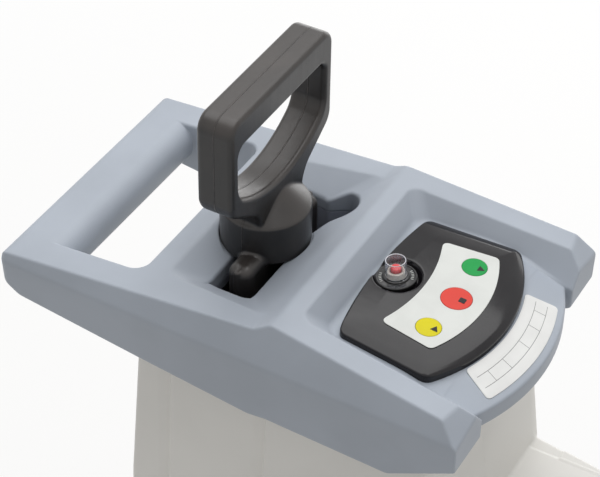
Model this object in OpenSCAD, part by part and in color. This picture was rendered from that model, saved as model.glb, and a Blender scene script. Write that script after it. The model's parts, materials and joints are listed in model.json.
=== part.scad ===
// Garden shredder with a slow cutting roller. Front, where the user stands, is -Y. The origin is on
// the floor, under the middle of the machine. All sizes are in millimetres.

/* [Overall] */
// Length from the grip of the collection box to the back of the carrying handle
overall_l = 496; // [480:1:540]
// Height of the step in the cover's side above the floor
cover_z = 800; // [790:1:860]

/* [Cover] */
// Greatest width of the cover, at the crease of its sides
cover_w = 260; // [250:1:290]
// Wall of the cover
cover_wall = 3; // [2:0.5:4]
// Length of the cover behind the step
cover_rear_l = 238; // [225:1:260]
// Length of the side arms in front of the step
cover_front_l = 184; // [178:1:196]
// Height of the cover's side at the step
cover_side_h = 87; // [80:1:100]
// Depth of the crease below the step
crease_drop = 26.6; // [20:0.1:32]
// Lean of the side above the crease, in degrees
crease_lean = 23.6; // [10:0.1:28]
// How far the lower edge is drawn in from the crease
lower_inset = 4; // [1:0.5:8]
// Fall of the top from the step to the rear end
rear_fall = 19.3; // [10:0.1:30]
// Depth of the rear end below the step
rear_depth = 60; // [50:1:70]
// Bevel under the rear end
rear_bevel = 14; // [8:1:20]
// Rise of the step
step_rise = 7.7; // [4:0.1:12]
// Length of the step's slope
step_run = 12.4; // [8:0.1:20]
// Fall of the arms from the step to the bevel at their front
arm_fall = 16.9; // [10:0.1:24]
// Length of the bevel on top of the arm ends
arm_bevel_l = 20; // [10:1:30]
// Height of the bevel on top of the arm ends
arm_bevel_h = 17.8; // [10:0.1:24]
// Height of the upright face of the arm ends
arm_face_h = 29; // [20:1:34]
// Length of the bevel under the arm ends
arm_under_l = 54; // [40:1:70]
// Radius of the cover's rear corners
rear_corner_r = 10; // [4:1:16]

/* [Carrying handle] */
// Depth of the handle bar, front to back
bar_d = 50; // [40:1:56]
// Height of the handle bar
bar_h = 42; // [38:1:46]
// Radius of the bar's inner edges
bar_r = 18; // [10:1:20]
// Width of the hand window
window_w = 189; // [170:1:200]
// Front edge of the hand window, behind the step
window_front = 118; // [112:1:126]
// Radius of the window's front corners
window_r = 13; // [6:1:20]

/* [Hopper] */
// Width of the hopper at the top
hopper_w = 186; // [176:1:196]
// Front edge of the hopper, behind the step
hopper_front = 4.4; // [2:0.1:8]
// Rear edge of the hopper, behind the step
hopper_rear = 98.3; // [94:0.1:102]
// Depth of the feed slot's rim below the step
rim_drop = 20; // [16:1:26]
// Depth of the skirt's lower edge below the step
skirt_drop = 41; // [36:1:46]
// Length of the feed slot across the machine
slot_l = 143; // [130:1:150]
// Width of the feed slot
slot_w = 38; // [34:1:42]
// Middle of the feed slot, behind the step
slot_y = 50; // [46:1:54]
// Radius of the slot's corners
slot_r = 8; // [4:1:12]
// Width of the finger at the far end of the slot
finger_w = 28; // [12:1:30]
// Reach of the finger past the end of the slot
finger_l = 9; // [6:1:12]
// How far the finger's front lies in front of the slot's middle
finger_y = 46; // [14:1:48]
// Where the finger leaves the slot's front edge, beside the middle
finger_x = 17; // [10:1:30]

/* [Recess and lip] */
// Rear edge of the recess floor, in front of the step
recess_rear = 42.6; // [38:0.1:46]
// Depth of the recess floor's rear edge below the step
recess_drop = 13.7; // [10:0.1:18]
// Tilt of the recess floor, in degrees
panel_tilt = 3.07; // [1:0.01:5]
// Width of the recess floor at its rear edge
recess_w = 160; // [156:1:168]
// Sideways lean of the recess walls for each millimetre of height
recess_lean = 0.84; // [0.4:0.01:0.9]
// Radius of the lip's front edge
lip_r = 178; // [170:1:190]
// Front of the lip, in front of the step
lip_front = 196.5; // [194:0.5:202]
// Depth of the lip's top edge below the step
lip_drop = 34.7; // [30:0.1:38]
// Height of the lip's front face
lip_h = 13.5; // [8:0.5:15]
// Fall of the apron for each millimetre towards the lip
apron_slope = 0.4; // [0.3:0.01:0.5]
// Width of the lip between the arms
lip_w = 176; // [172:1:184]

/* [Control panel] */
// Width of the panel at its rear edge
panel_w = 156; // [150:1:158]
// Width of the panel at its front corners
panel_front_w = 175; // [168:1:177]
// Rear edge of the panel on the recess floor, in front of the floor's rear edge
panel_rear = 8; // [6:0.5:10]
// Front corners of the panel on the recess floor
panel_corner = 91; // [86:1:96]
// Radius of the panel's front edge
panel_r = 162; // [150:1:180]
// Height of the panel's rim
panel_rim_h = 4.2; // [3:0.1:6]
// Height of the panel's flat top above the recess floor
panel_h = 10.8; // [9.5:0.1:13]
// Width of the sloping border
panel_border = 12; // [8:1:14]
// Thickness of the panel's top
panel_skin = 3; // [2:0.1:3.5]
// Thickness of the white keypad film
film_t = 0.6; // [0.4:0.1:1]
// Rear edge of the film at the middle of the panel
film_rear = 50; // [46:1:54]
// Length of the film, front to back
film_l = 42; // [38:1:43]
// Width of the film
film_w = 116; // [110:1:122]
// Radius of the film's front and rear edges
film_r = 150; // [120:1:180]
// Diameter of the stop button
stop_d = 26.4; // [22:0.1:28]
// Diameter of the start and reverse buttons
side_button_d = 22; // [18:0.1:24]
// Distance of the side buttons from the middle
side_button_x = 41; // [37:0.5:45]
// Distance of the stop button from the recess floor's rear edge
button_y = 73; // [72:0.5:75]
// How far the side buttons lie behind the stop button
side_button_back = 4; // [0:0.5:5]
// Travel of a button
button_travel = 1; // [0.6:0.1:1]
// Clearance round a button
button_gap = 0.25; // [0.2:0.05:0.5]
// Thickness of the circuit board
board_t = 1.6; // [1:0.1:2]

/* [Breaker] */
// Distance of the breaker from the recess floor's rear edge
breaker_y = 26; // [25:0.5:28]
// Diameter of the ringed nut
nut_d = 34; // [30:0.5:35]
// Diameter of the breaker's neck
neck_d = 12; // [10:0.5:13]
// Diameter of the clear cap
cap_d = 17; // [16:0.5:19]
// Height of the clear cap
cap_h = 16.5; // [15:0.5:20]
// Diameter of the reset button
reset_d = 9; // [7:0.5:9]
// Travel of the reset button
reset_travel = 2; // [1:0.1:3]

/* [Plunger] */
// Width of the grip loop
loop_w = 155.6; // [145:0.1:165]
// Depth of the grip loop, front to back
loop_d = 30.8; // [26:0.1:33]
// Height of the loop's top above the step
loop_top = 150; // [140:1:165]
// Height of the loop's upright sides
loop_side_h = 88; // [80:1:96]
// Height of the taper from the sides to the neck
loop_taper_h = 24; // [18:1:30]
// Radius of the loop's top corners
loop_r = 14; // [8:1:18]
// Thickness of the loop's sides
loop_leg = 10.5; // [9:0.5:19]
// Thickness of the loop's top bar
loop_bar = 27; // [22:1:32]
// Diameter of the plunger's drum
drum_d = 76; // [70:1:78]
// Height of the drum's wall
drum_h = 38; // [32:1:42]
// Length of the tongue across the machine
tongue_l = 116; // [100:1:122]
// Thickness of the tongue
tongue_t = 22; // [18:1:26]
// Depth of the tongue below the drum
tongue_h = 76; // [60:1:90]
// Depth of the drum's seat below the step
seat_drop = 17; // [14:0.5:19]
// Clearance of the plunger in its seat
plunger_gap = 0.3; // [0.2:0.1:0.6]
// Lift of the plunger
plunger_lift = 90; // [60:1:120]

/* [Housing] */
// Wall of the housing
housing_wall = 4; // [3:0.5:5]
// Width of the tower at its top
tower_w = 196; // [192:1:204]
// Rear face of the tower at its top, behind the step
tower_rear = 121; // [119:1:124]
// Front face of the tower at its top, in front of the step
tower_front = 151; // [149:1:153]
// Depth of the tower's top below the step
tower_drop = 58; // [56:1:62]
// Lean of the housing's walls, in degrees
housing_lean = 2.6; // [2.2:0.1:3.2]
// Radius of the housing's upright corners
housing_r = 8; // [5:1:12]
// Depth of the nose's top below the step
nose_drop = 229; // [222:1:232]
// Front face of the nose at its top, in front of the step
nose_front = 238; // [232:1:240]
// Width of the nose at its front
nose_w = 178; // [170:1:190]
// Depth of the upright grooves in the tower's sides
groove_d = 1.6; // [1:0.1:2.4]
// Width of the upright grooves
groove_w = 10; // [6:1:14]

/* [Base] */
// Width of the base
base_w = 356; // [350:1:380]
// Wall of the base
base_wall = 4; // [3:0.5:5]
// Height of the base's deck above the floor
deck_z = 420; // [415:1:424]
// Thickness of the deck
deck_t = 5; // [4:0.5:8]
// Height of the sloping shoulders
shoulder_h = 48; // [40:1:56]
// Rear face of the base, behind the middle of the machine
base_rear = 200; // [190:1:210]
// Reach of the box's grip in front of the base
grip_d = 14; // [12:1:20]
// Height of the base's lower edge above the floor
base_gap = 30; // [24:1:36]
// Radius of the base's upright corners
base_r = 16; // [8:1:22]

/* [Collection box] */
// Wall of the collection box
box_wall = 3; // [2:0.5:4]
// Clearance of the box in its runners
box_gap = 0.3; // [0.2:0.1:0.8]
// Width of each runner
runner_w = 28; // [20:1:36]
// Length of the box behind its front panel
box_l = 416; // [380:1:420]
// Travel of the box
box_travel = 380; // [300:1:400]
// Width of the box's grip
grip_w = 150; // [120:1:180]
// Thickness of the box's grip
grip_t = 14; // [10:1:18]
// Travel of the latch
latch_travel = 14; // [10:1:16]
// Width of the latch
latch_w = 44; // [36:1:56]

/* [Wheels] */
// Diameter of a wheel
wheel_d = 160; // [150:1:164]
// Width of a wheel
wheel_w = 36; // [30:1:44]
// Height of the tyre's section
tyre_h = 16; // [12:1:20]
// Diameter of the axle
axle_d = 12; // [10:1:14]
// Running clearance of the wheels on the axle
axle_gap = 0.08; // [0.04:0.01:0.1]
// Width of the spacer between a wheel and the base
spacer_w = 3; // [2:0.5:5]
// Diameter of a front foot
foot_d = 36; // [30:1:40]

/* [Drive] */
// Height of the drive's axes above the deck
drive_h = 84; // [83:0.5:85]
// Roller axis, behind the step
roller_y = 40; // [38:0.5:42]
// Tooth size of the gears
gear_m = 2; // [1.9:0.01:2]
// Width of a gear
gear_w = 16; // [12:1:18]
// Diameter of the motor's can
can_d = 122; // [112:1:123]
// Length of the motor's can
can_l = 114; // [104:1:116]
// Wall of the motor's can
can_wall = 3.8; // [3:0.1:5]
// Diameter of the motor's shaft and of the layshaft
shaft_d = 18; // [16:0.5:20]
// Diameter of the roller's shaft
roller_shaft_d = 25; // [22:0.5:28]
// Diameter of the cutting roller
roller_d = 90; // [84:0.5:92]
// Length of the cutting roller
roller_l = 94; // [88:1:98]
// Running clearance of a shaft in its bearing
shaft_gap = 0.04; // [0.02:0.01:0.08]
// Clearance of moving parts in the drive
drive_gap = 1.5; // [1.2:0.1:2]
// Wall of the gearbox
gearbox_wall = 3; // [2.5:0.1:4]
// Thickness of the gearbox's inner plate
plate_t = 6; // [5:0.5:8]
// Place of the gearbox's inner plate, right of the middle
plate_x = 44; // [42:0.5:46]
// Thickness of the cutting frame's walls
frame_t = 8; // [6:0.5:9]
// Thickness of the pressure plate
pressure_t = 18; // [14:0.5:19]
// Height of the pressure plate
pressure_h = 84; // [70:1:90]
// Gap between the roller and the pressure plate
pressure_gap = 4; // [3.5:0.1:5]
// Travel of the pressure plate
pressure_travel = 3; // [1:0.1:3]
// Diameter of the adjusting screw
screw_d = 10; // [8:0.5:12]
// Diameter of the adjusting knob
knob_d = 52; // [44:1:60]
// Length of the adjusting knob
knob_l = 22; // [16:1:28]

/* [Electrics] */
// Diameter of the capacitor
capacitor_d = 40; // [34:1:42]
// Length of the capacitor
capacitor_l = 85; // [70:1:95]
// Size of the power inlet's square opening
inlet_w = 42; // [36:1:46]
// Height of the inlet's middle above the nose
inlet_h = 60; // [50:1:64]

/* [Hidden] */
$fn = 96;

// A cut runs this far past the face that it opens
past = 1;
// Thickness of the slices that a tapered form is drawn between
skin = 0.2;
// Faceted round corners have this many sides
corner_fn = 32;
cover_grey = [0.62, 0.66, 0.71];
pale_grey = [0.80, 0.79, 0.76];
near_black = [0.12, 0.12, 0.12];
steel = [0.72, 0.73, 0.75];
aluminium = [0.78, 0.79, 0.81];

// Places along Y and Z that several pieces share
step_y = overall_l/2 - cover_rear_l;
base_front = -overall_l/2 + grip_d;
tower_top_z = cover_z - tower_drop;
nose_z = cover_z - nose_drop;
drive_z = deck_z + drive_h;
wheel_r = wheel_d/2;
axle_y = overall_l/2 - wheel_r - 8;
lean = tan(housing_lean);

// Gear train: teeth, then pitch radii, then axes
pinion_teeth = 14;
gear_teeth = 70;
small_teeth = 18;
final_teeth = 76;
function pitch_r(teeth) = gear_m*teeth/2;
axis_roller = step_y + roller_y;
axis_lay = axis_roller - pitch_r(small_teeth) - pitch_r(final_teeth);
axis_motor = axis_lay - pitch_r(pinion_teeth) - pitch_r(gear_teeth);
gear_addendum = 0.75*gear_m;
gear_dedendum = 1.15*gear_m;
gear_x1 = plate_x + plate_t + 5;
gear_x2 = gear_x1 + gear_w + 4;
cover_x = gear_x2 + gear_w + 3;
gearbox_cover_t = 4;
gearbox_end = cover_x + gearbox_cover_t;
frame_left = plate_x - roller_l - 14 - frame_t;
frame_front = axis_roller - roller_d/2 - 5 - frame_t;
pressure_y = axis_roller + roller_d/2 + pressure_gap;
frame_rear = pressure_y + pressure_t + 17;
frame_top = drive_z + 55;
adjust_x = (plate_x + frame_left + frame_t)/2;

// Turns a drawing of Y and Z into a bar along X
module extrude_x(h) { rotate([90, 0, 90]) linear_extrude(h, center = true) children(); }
// Turns a drawing of X and Z into a bar along Y
module extrude_y(h) { rotate([90, 0, 0]) linear_extrude(h, center = true) children(); }
// Box from one corner to the other
module span(a, b) { translate(a) cube(b - a); }
module rod_x(r, a, b) { translate([a, 0, 0]) rotate([0, 90, 0]) cylinder(r = r, h = b - a); }
module rod_y(r, a, b) { translate([0, b, 0]) rotate([90, 0, 0]) cylinder(r = r, h = b - a); }
module ring_x(outer, inner, a, b) {
  difference() {
    rod_x(outer, a, b);
    rod_x(inner, a - past, b + past);
  }
}
// Rectangle from one corner to the other with round corners
module round_rect(a, b, r) {
  union() {
    translate([a.x + r, a.y]) square([b.x - a.x - 2*r, b.y - a.y]);
    translate([a.x, a.y + r]) square([b.x - a.x, b.y - a.y - 2*r]);
    for (x = [a.x + r, b.x - r], y = [a.y + r, b.y - r]) translate([x, y]) circle(r);
  }
}
module at_step() { translate([0, step_y, cover_z]) children(); }
// Frame of the recess floor: Z is the height above the floor
module on_panel() { at_step() to_panel() children(); }
module mirror_pair() {
  children();
  mirror([1, 0, 0]) children();
}

// Cover
function cover_top() = [[cover_rear_l, -rear_fall], [0, 0], [-step_run, step_rise],
  [-cover_front_l + arm_bevel_l, step_rise - arm_fall],
  [-cover_front_l, step_rise - arm_fall - arm_bevel_h]];
module cover_side_view() {
  polygon(concat(cover_top(), [
    [-cover_front_l, step_rise - arm_fall - arm_bevel_h - arm_face_h],
    [-cover_front_l + arm_under_l, -cover_side_h], [0, -cover_side_h],
    [cover_rear_l - rear_bevel, -rear_depth], [cover_rear_l, -rear_depth + rear_bevel]]));
}
// Half of the cover's front view; grow makes it wider
module cover_front_view(grow) {
  w = cover_w/2 + grow;
  top = step_rise + past;
  top_w = w - (top + crease_drop)*tan(crease_lean);
  low_w = w - lower_inset;
  polygon([[-top_w, top], [top_w, top], [w, -crease_drop], [low_w, -cover_side_h - past],
    [-low_w, -cover_side_h - past], [-w, -crease_drop]]);
}
module cover_body() {
  length = 2*(cover_rear_l + cover_front_l);
  intersection() {
    extrude_x(cover_w) cover_side_view();
    extrude_y(length) cover_front_view(0);
    translate([0, 0, -cover_side_h - past]) linear_extrude(cover_side_h + step_rise + 2*past)
      round_rect([-cover_w/2, -length], [cover_w/2, cover_rear_l], rear_corner_r);
  }
}
bar_top = -rear_fall*(cover_rear_l - bar_d + bar_r)/cover_rear_l;
module handle_bar() {
  y = cover_rear_l - bar_d;
  intersection() {
    cover_body();
    extrude_x(window_w + 2*past) union() {
      translate([y + bar_r, bar_top - bar_h]) square([bar_d - bar_r, bar_h + step_rise]);
      translate([y, bar_top - bar_h + bar_r]) square([bar_d, bar_h - 2*bar_r]);
      for (z = [bar_top - bar_r, bar_top - bar_h + bar_r]) translate([y + bar_r, z]) circle(bar_r);
    }
  }
}
window_rear = cover_rear_l + window_r + past;
module hand_window() {
  translate([0, 0, -cover_side_h - past]) linear_extrude(cover_side_h + step_rise + 2*past)
    round_rect([-window_w/2, window_front], [window_w/2, window_rear], window_r);
}
drum_back = 8;
seat_room = 0.6;
slot_front = slot_y - slot_w/2;
slot_rear = slot_y + slot_w/2;
module hopper_dish() {
  top = step_rise + past;
  hull() {
    translate([0, 0, top]) linear_extrude(skin)
      square_between([-hopper_w/2, hopper_front - 3], [hopper_w/2, hopper_rear + 4]);
    translate([0, 0, -rim_drop]) linear_extrude(skin)
      square_between([-slot_l/2, slot_front], [slot_l/2, slot_rear]);
  }
}
module square_between(a, b) { translate(a) square(b - a); }
finger_r = finger_w/2;
finger_at = [slot_l/2 + finger_l - finger_r, slot_y - finger_y + finger_r];
module feed_slot() {
  start = [finger_x, slot_front];
  away = finger_at - start;
  turn = atan2(away.y, away.x) - asin(finger_r/norm(away));
  reach = sqrt(away*away - finger_r*finger_r);
  round_rect([-slot_l/2, slot_front], [slot_l/2, slot_rear], slot_r);
  polygon([start, start + reach*[cos(turn), sin(turn)], finger_at, finger_at + [finger_r, 0],
    [slot_l/2, slot_front + slot_r]]);
  translate(finger_at) circle(finger_r);
}
// Recess between the arms, in the frame of its floor; grow makes it larger all round
function recess_half(z) = recess_w/2 + recess_lean*z;
recess_flare = 0.14;
module recess_shape(grow) {
  depth = cover_front_l;
  top = recess_drop + step_rise + 12;
  hull() for (z = [-grow, top]) {
    half = recess_half(z) + grow;
    rear = grow + max(z, 0)*recess_lean;
    translate([0, 0, z]) linear_extrude(skin)
      polygon([[-half, rear], [half, rear], [half + recess_flare*depth, -depth],
        [-half - recess_flare*depth, -depth]]);
  }
}
module to_panel() { translate([0, -recess_rear, -recess_drop]) rotate([panel_tilt, 0, 0]) children(); }
lip_middle = lip_r - lip_front;
module lip() {
  depth = lip_drop + lip_h;
  inner = lip_r - 56;
  intersection() {
    translate([0, lip_middle, 0]) rotate_extrude()
      polygon([[inner, -lip_drop + (lip_r - inner)*apron_slope], [lip_r, -lip_drop], [lip_r, -depth],
        [inner, -depth]]);
    span([-lip_w/2 - past, -lip_front - past, -depth - past], [lip_w/2 + past, -recess_rear, 0]);
    to_panel() span([-lip_w, -lip_front, -2*depth], [lip_w, past, 0]);
  }
}
// Space inside the cover, open below
cavity_front = -tower_front - 7;
cavity_low = -tower_drop + 8;
module cover_cavity() {
  w = cover_w/2 - lower_inset - cover_wall;
  rear = hopper_rear - 4;
  span([-w, cavity_front, -cover_side_h - past], [w, tower_rear + 7, cavity_low]);
  intersection() {
    translate([0, 0, -cover_wall]) extrude_x(cover_w) polygon(concat(
      [for (p = cover_top()) [min(max(p.x, cavity_front + 8), rear), p.y]],
      [[cavity_front + 8, -cover_side_h], [rear, -cover_side_h]]));
    extrude_y(2*cover_rear_l) cover_front_view(-cover_wall);
  }
}
boss_x = 80;
boss_rear = hopper_rear - 8;
boss_front = -116;
boss_r = 6;
screw_r = 2.5;
thread_gap = 0.05;
cover_boss_z = -tower_drop;
module cover_screw_places() {
  for (x = [-boss_x, boss_x], y = [boss_rear, boss_front]) translate([x, y, cover_boss_z]) children();
}
module cover_bosses() {
  for (x = [-boss_x, boss_x]) {
    translate([x, boss_rear, cover_boss_z]) cylinder(r = boss_r, h = tower_drop - skirt_drop + past);
    translate([x, boss_front, cover_boss_z]) cylinder(r = boss_r, h = tower_drop - recess_drop - 6);
  }
}
panel_hole_x = 62;
module panel_hole() {
  span([-panel_hole_x, -panel_corner + 8, -20], [panel_hole_x, -panel_rear - 6, past]);
}
module top_cover() {
  color(cover_grey) at_step() difference() {
    union() {
      difference() {
        cover_body();
        hand_window();
        difference() {
          cover_cavity();
          span([-hopper_w/2 - cover_wall, hopper_front - 8, -skirt_drop],
            [hopper_w/2 + cover_wall, hopper_rear + 8, step_rise + past]);
          to_panel() recess_shape(cover_wall);
        }
        span([-lip_w/2, -cover_front_l - past, -cover_side_h - past],
          [lip_w/2, cavity_front + 8 + past, step_rise + past]);
      }
      handle_bar();
      lip();
      cover_bosses();
    }
    hopper_dish();
    translate([0, slot_y + drum_back, -seat_drop])
      cylinder(d = drum_d + 2*seat_room, h = seat_drop + step_rise + past);
    to_panel() recess_shape(0);
    to_panel() panel_hole();
    translate([0, 0, -skirt_drop - past]) linear_extrude(skirt_drop + past) feed_slot();
    cover_screw_places() translate([0, 0, -past]) cylinder(r = screw_r + thread_gap, h = 13 + past);
  }
}

// Feed chute under the hopper
chute_wall = 3;
chute_top = cover_z - skirt_drop;
chute_l = roller_l + 6;
chute_x = plate_x - 7 - roller_l/2;
chute_mid = tower_top_z - 60;
chute_front = step_y + slot_front;
chute_rear = step_y + slot_rear;
chute_low = drive_z + gear_room(final_teeth) + gearbox_wall + 2;
mouth_room = 2;
mouth_front = step_y + min(slot_front - 10, slot_y - finger_y - mouth_room);
module chute_mouth(z, grow) {
  end = slot_l/2 + finger_l + mouth_room + grow;
  translate([0, 0, z]) linear_extrude(skin)
    square_between([-end, mouth_front - grow], [end, chute_rear + grow]);
}
module chute_throat(z, grow) {
  translate([chute_x, axis_roller, z]) linear_extrude(skin)
    square_between([-chute_l/2 - grow, -throat_half - grow], [chute_l/2 + grow, throat_half + grow]);
}
module chute_form(grow) {
  hull() { chute_mouth(chute_top - skin, grow); chute_mouth(chute_mid, grow); }
  hull() { chute_mouth(chute_mid, grow); chute_throat(chute_low, grow); }
  hull() { chute_throat(chute_low, grow); chute_throat(frame_top, grow); }
}
throat_half = 26;
module feed_chute() {
  throat = [chute_l/2, throat_half];
  color(near_black) difference() {
    union() {
      chute_form(chute_wall);
      span([chute_x - chute_l/2 - 8, frame_front, frame_top], [plate_x, frame_rear, frame_top + 4]);
    }
    chute_form(0);
    span([-slot_l/2, chute_front, chute_top - 2], [slot_l/2, chute_rear, chute_top + past]);
    translate([chute_x, axis_roller, frame_top - past]) linear_extrude(2*past)
      square_between(-throat, throat);
  }
}

// Plunger, with its drum on the rim of the feed slot
plunger_y = step_y + slot_y + drum_back;
drum_z = cover_z - seat_drop + plunger_gap;
drum_top = drum_z + drum_h;
loop_bottom = cover_z + loop_top - loop_side_h - loop_taper_h;
neck_w = drum_d*0.91;
module loop_outline() {
  z0 = loop_bottom - cover_z;
  z1 = z0 + loop_taper_h;
  union() {
    translate([0, cover_z]) polygon([[-neck_w/2, z0 - 30], [neck_w/2, z0 - 30],
      [neck_w/2, z0], [loop_w/2, z1], [loop_w/2, loop_top - loop_r], [loop_w/2 - loop_r, loop_top],
      [-loop_w/2 + loop_r, loop_top],
      [-loop_w/2, loop_top - loop_r], [-loop_w/2, z1], [-neck_w/2, z0]]);
    for (x = [-1, 1]) translate([x*(loop_w/2 - loop_r), cover_z + loop_top - loop_r]) circle(loop_r);
  }
}
hand_w = loop_w - 2*loop_leg;
hand_top = cover_z + loop_top - loop_bar;
hand_web = 15;
hand_low = loop_bottom + hand_web;
hand_sag = 24;
hand_arc = (hand_w*hand_w/4 + hand_sag*hand_sag)/(2*hand_sag);
module hand_hole() {
  corner = 8;
  intersection() {
    round_rect([-hand_w/2, hand_low - corner], [hand_w/2, hand_top], corner);
    translate([0, hand_low + hand_arc]) circle(hand_arc);
  }
}
module plunger() {
  cone_h = 21;
  color(near_black) translate([0, plunger_y, 0]) {
    difference() {
      extrude_y(loop_d) loop_outline();
      extrude_y(loop_d + 2*past) hand_hole();
      span([-loop_w, -loop_w, cover_z - 90], [loop_w, loop_w, drum_z + drum_h - past]);
    }
    translate([0, 0, drum_z]) cylinder(d = drum_d, h = drum_h);
    translate([0, 0, drum_top]) cylinder(d1 = drum_d, d2 = loop_d*0.9, h = cone_h);
    tongue_y = -drum_back;
    translate([0, tongue_y, 0]) span([-tongue_l/2, -tongue_t/2, drum_z - tongue_h],
      [tongue_l/2, tongue_t/2, drum_z + past]);
    translate([0, tongue_y, drum_z]) rod_x(tongue_t/2, -tongue_l/2, tongue_l/2);
  }
}

// Control panel and what it carries, in the frame of the recess floor
module panel_outline(inset) {
  half = panel_w/2 - inset;
  front_half = panel_front_w/2 - inset;
  intersection() {
    polygon([[-half, -panel_rear - inset], [half, -panel_rear - inset],
      [front_half, -panel_corner], [front_half, -lip_front], [-front_half, -lip_front],
      [-front_half, -panel_corner]]);
    translate([0, -panel_corner - panel_bulge + panel_r]) circle(panel_r - inset);
  }
}
panel_bulge = panel_r - sqrt(panel_r*panel_r - panel_front_w*panel_front_w/4);
button_top = panel_h + film_t + 0.5;
switch_top = panel_h - panel_skin - 1.3;
board_top = switch_top - 2.5;
button_low = switch_top + button_travel + 0.1;
function button_places() = [[side_button_x, -button_y + side_button_back, side_button_d/2],
  [0, -button_y, stop_d/2], [-side_button_x, -button_y + side_button_back, side_button_d/2]];
nut_seat = panel_h - 4;
module control_panel() {
  pocket_x = panel_hole_x - 2;
  color(near_black) on_panel() difference() {
    union() {
      linear_extrude(panel_rim_h) panel_outline(0);
      hull() {
        translate([0, 0, panel_rim_h - skin]) linear_extrude(skin) panel_outline(0);
        translate([0, 0, panel_h - skin]) linear_extrude(skin) panel_outline(panel_border);
      }
    }
    difference() {
      span([-pocket_x, -panel_corner + 6, -past], [pocket_x, -panel_rear - 8, panel_h - panel_skin]);
      for (x = [-1, 1], y = [-button_y - 10, -button_y + 20])
        translate([x*(side_button_x + 15), y, board_top])
          cylinder(r = 2.5, h = panel_h - board_top - 2*past);
      translate([0, -breaker_y, nut_seat - panel_skin]) cylinder(d = nut_d + 6, h = panel_skin + past);
    }
    for (b = button_places()) translate([b.x, b.y, 0]) cylinder(r = b.z + button_gap, h = panel_h + past);
    translate([0, -breaker_y, nut_seat]) cylinder(d = nut_d + 1, h = panel_h);
    translate([0, -breaker_y, -past]) cylinder(d = neck_d + 0.4, h = panel_h);
  }
}
module film_outline() {
  half = film_w/2;
  difference() {
    intersection() {
      translate([0, -film_rear - film_l + film_r]) circle(film_r);
      polygon([[-half + 6, 0], [half - 6, 0], [half, -film_rear - film_l], [-half, -film_rear - film_l]]);
    }
    translate([0, -film_rear + film_r]) circle(film_r);
  }
}
module keypad_film() {
  color("white") on_panel() translate([0, 0, panel_h]) difference() {
    linear_extrude(film_t) film_outline();
    for (b = button_places()) translate([b.x, b.y, -past])
      cylinder(r = b.z + button_gap, h = film_t + 2*past);
  }
}
module push_button(place) {
  on_panel() translate([place.x, place.y, 0]) {
    translate([0, 0, button_low]) cylinder(r = 3, h = panel_h - button_low);
    translate([0, 0, panel_h - panel_skin + 0.2]) cylinder(r = place.z, h = panel_skin + film_t);
    translate([0, 0, panel_h + film_t + 0.2]) cylinder(r1 = place.z, r2 = place.z - 1.2, h = 0.3);
  }
}
module start_button() { color([0.18, 0.73, 0.37]) push_button(button_places()[0]); }
module stop_button() { color([0.95, 0.33, 0.31]) push_button(button_places()[1]); }
module reverse_button() { color([0.96, 0.92, 0.1]) push_button(button_places()[2]); }
board_side = 18;
board_front = 9;
board_rear = 22;
key_w = 6;
module button_board() {
  half = side_button_x + board_side;
  color([0.1, 0.35, 0.2]) on_panel() union() {
    span([-half, -button_y - board_front, board_top - board_t], [half, -button_y + board_rear, board_top]);
    for (b = button_places()) translate([b.x - key_w/2, b.y - key_w/2, board_top])
      cube([key_w, key_w, switch_top - board_top]);
  }
}
module at_breaker() { on_panel() translate([0, -breaker_y, 0]) children(); }
breaker_w = 26;
breaker_h = 30;
breaker_top = nut_seat - panel_skin;
neck_top = nut_seat + 11;
reset_low = nut_seat + 3;
module breaker_body() {
  color([0.25, 0.25, 0.27]) at_breaker() difference() {
    union() {
      span([-breaker_w/2, -breaker_w/2 + 2, breaker_top - breaker_h],
        [breaker_w/2, breaker_w/2 - 4, breaker_top]);
      translate([0, 0, breaker_top - past]) cylinder(d = neck_d, h = neck_top - breaker_top + past);
    }
    translate([0, 0, reset_low - reset_travel - 1]) cylinder(d = reset_d + 0.4, h = neck_top);
  }
}
module breaker_nut() {
  h = 4;
  color(near_black) at_breaker() translate([0, 0, nut_seat]) difference() {
    union() {
      cylinder(d = nut_d, h = h - 1);
      cylinder(d = nut_d - 8, h = h);
      cylinder(d = cap_d - 2.6, h = h + 3);
    }
    translate([0, 0, -past]) cylinder(d = neck_d + 2*thread_gap, h = h + 4 + past);
  }
}
module reset_button() {
  color("crimson") at_breaker() union() {
    translate([0, 0, reset_low]) cylinder(d = reset_d, h = neck_top + 3 - reset_low);
    translate([0, 0, neck_top + 3]) cylinder(d1 = reset_d, d2 = reset_d - 1.5, h = 0.8);
  }
}
module clear_cap() {
  wall = 1;
  color([0.9, 0.92, 0.95]) at_breaker() translate([0, 0, nut_seat + 4]) difference() {
    cylinder(d = cap_d, h = cap_h);
    translate([0, 0, -past]) cylinder(d = cap_d - 2*wall, h = cap_h - wall + past);
  }
}
plate_arc = 44;
plate_edge = 6;
plate_w = 25;
module rating_plate() {
  t = 0.4;
  r1 = lip_r - plate_edge;
  r0 = r1 - plate_w;
  z0 = -lip_drop + (lip_r - r0)*apron_slope + thread_gap;
  z1 = -lip_drop + (lip_r - r1)*apron_slope + thread_gap;
  color("white") at_step() translate([0, lip_middle, 0]) rotate([0, 0, 270 - plate_arc/2])
    rotate_extrude(angle = plate_arc) polygon([[r0, z0], [r1, z1], [r1, z1 + t], [r0, z0 + t]]);
}

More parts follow.
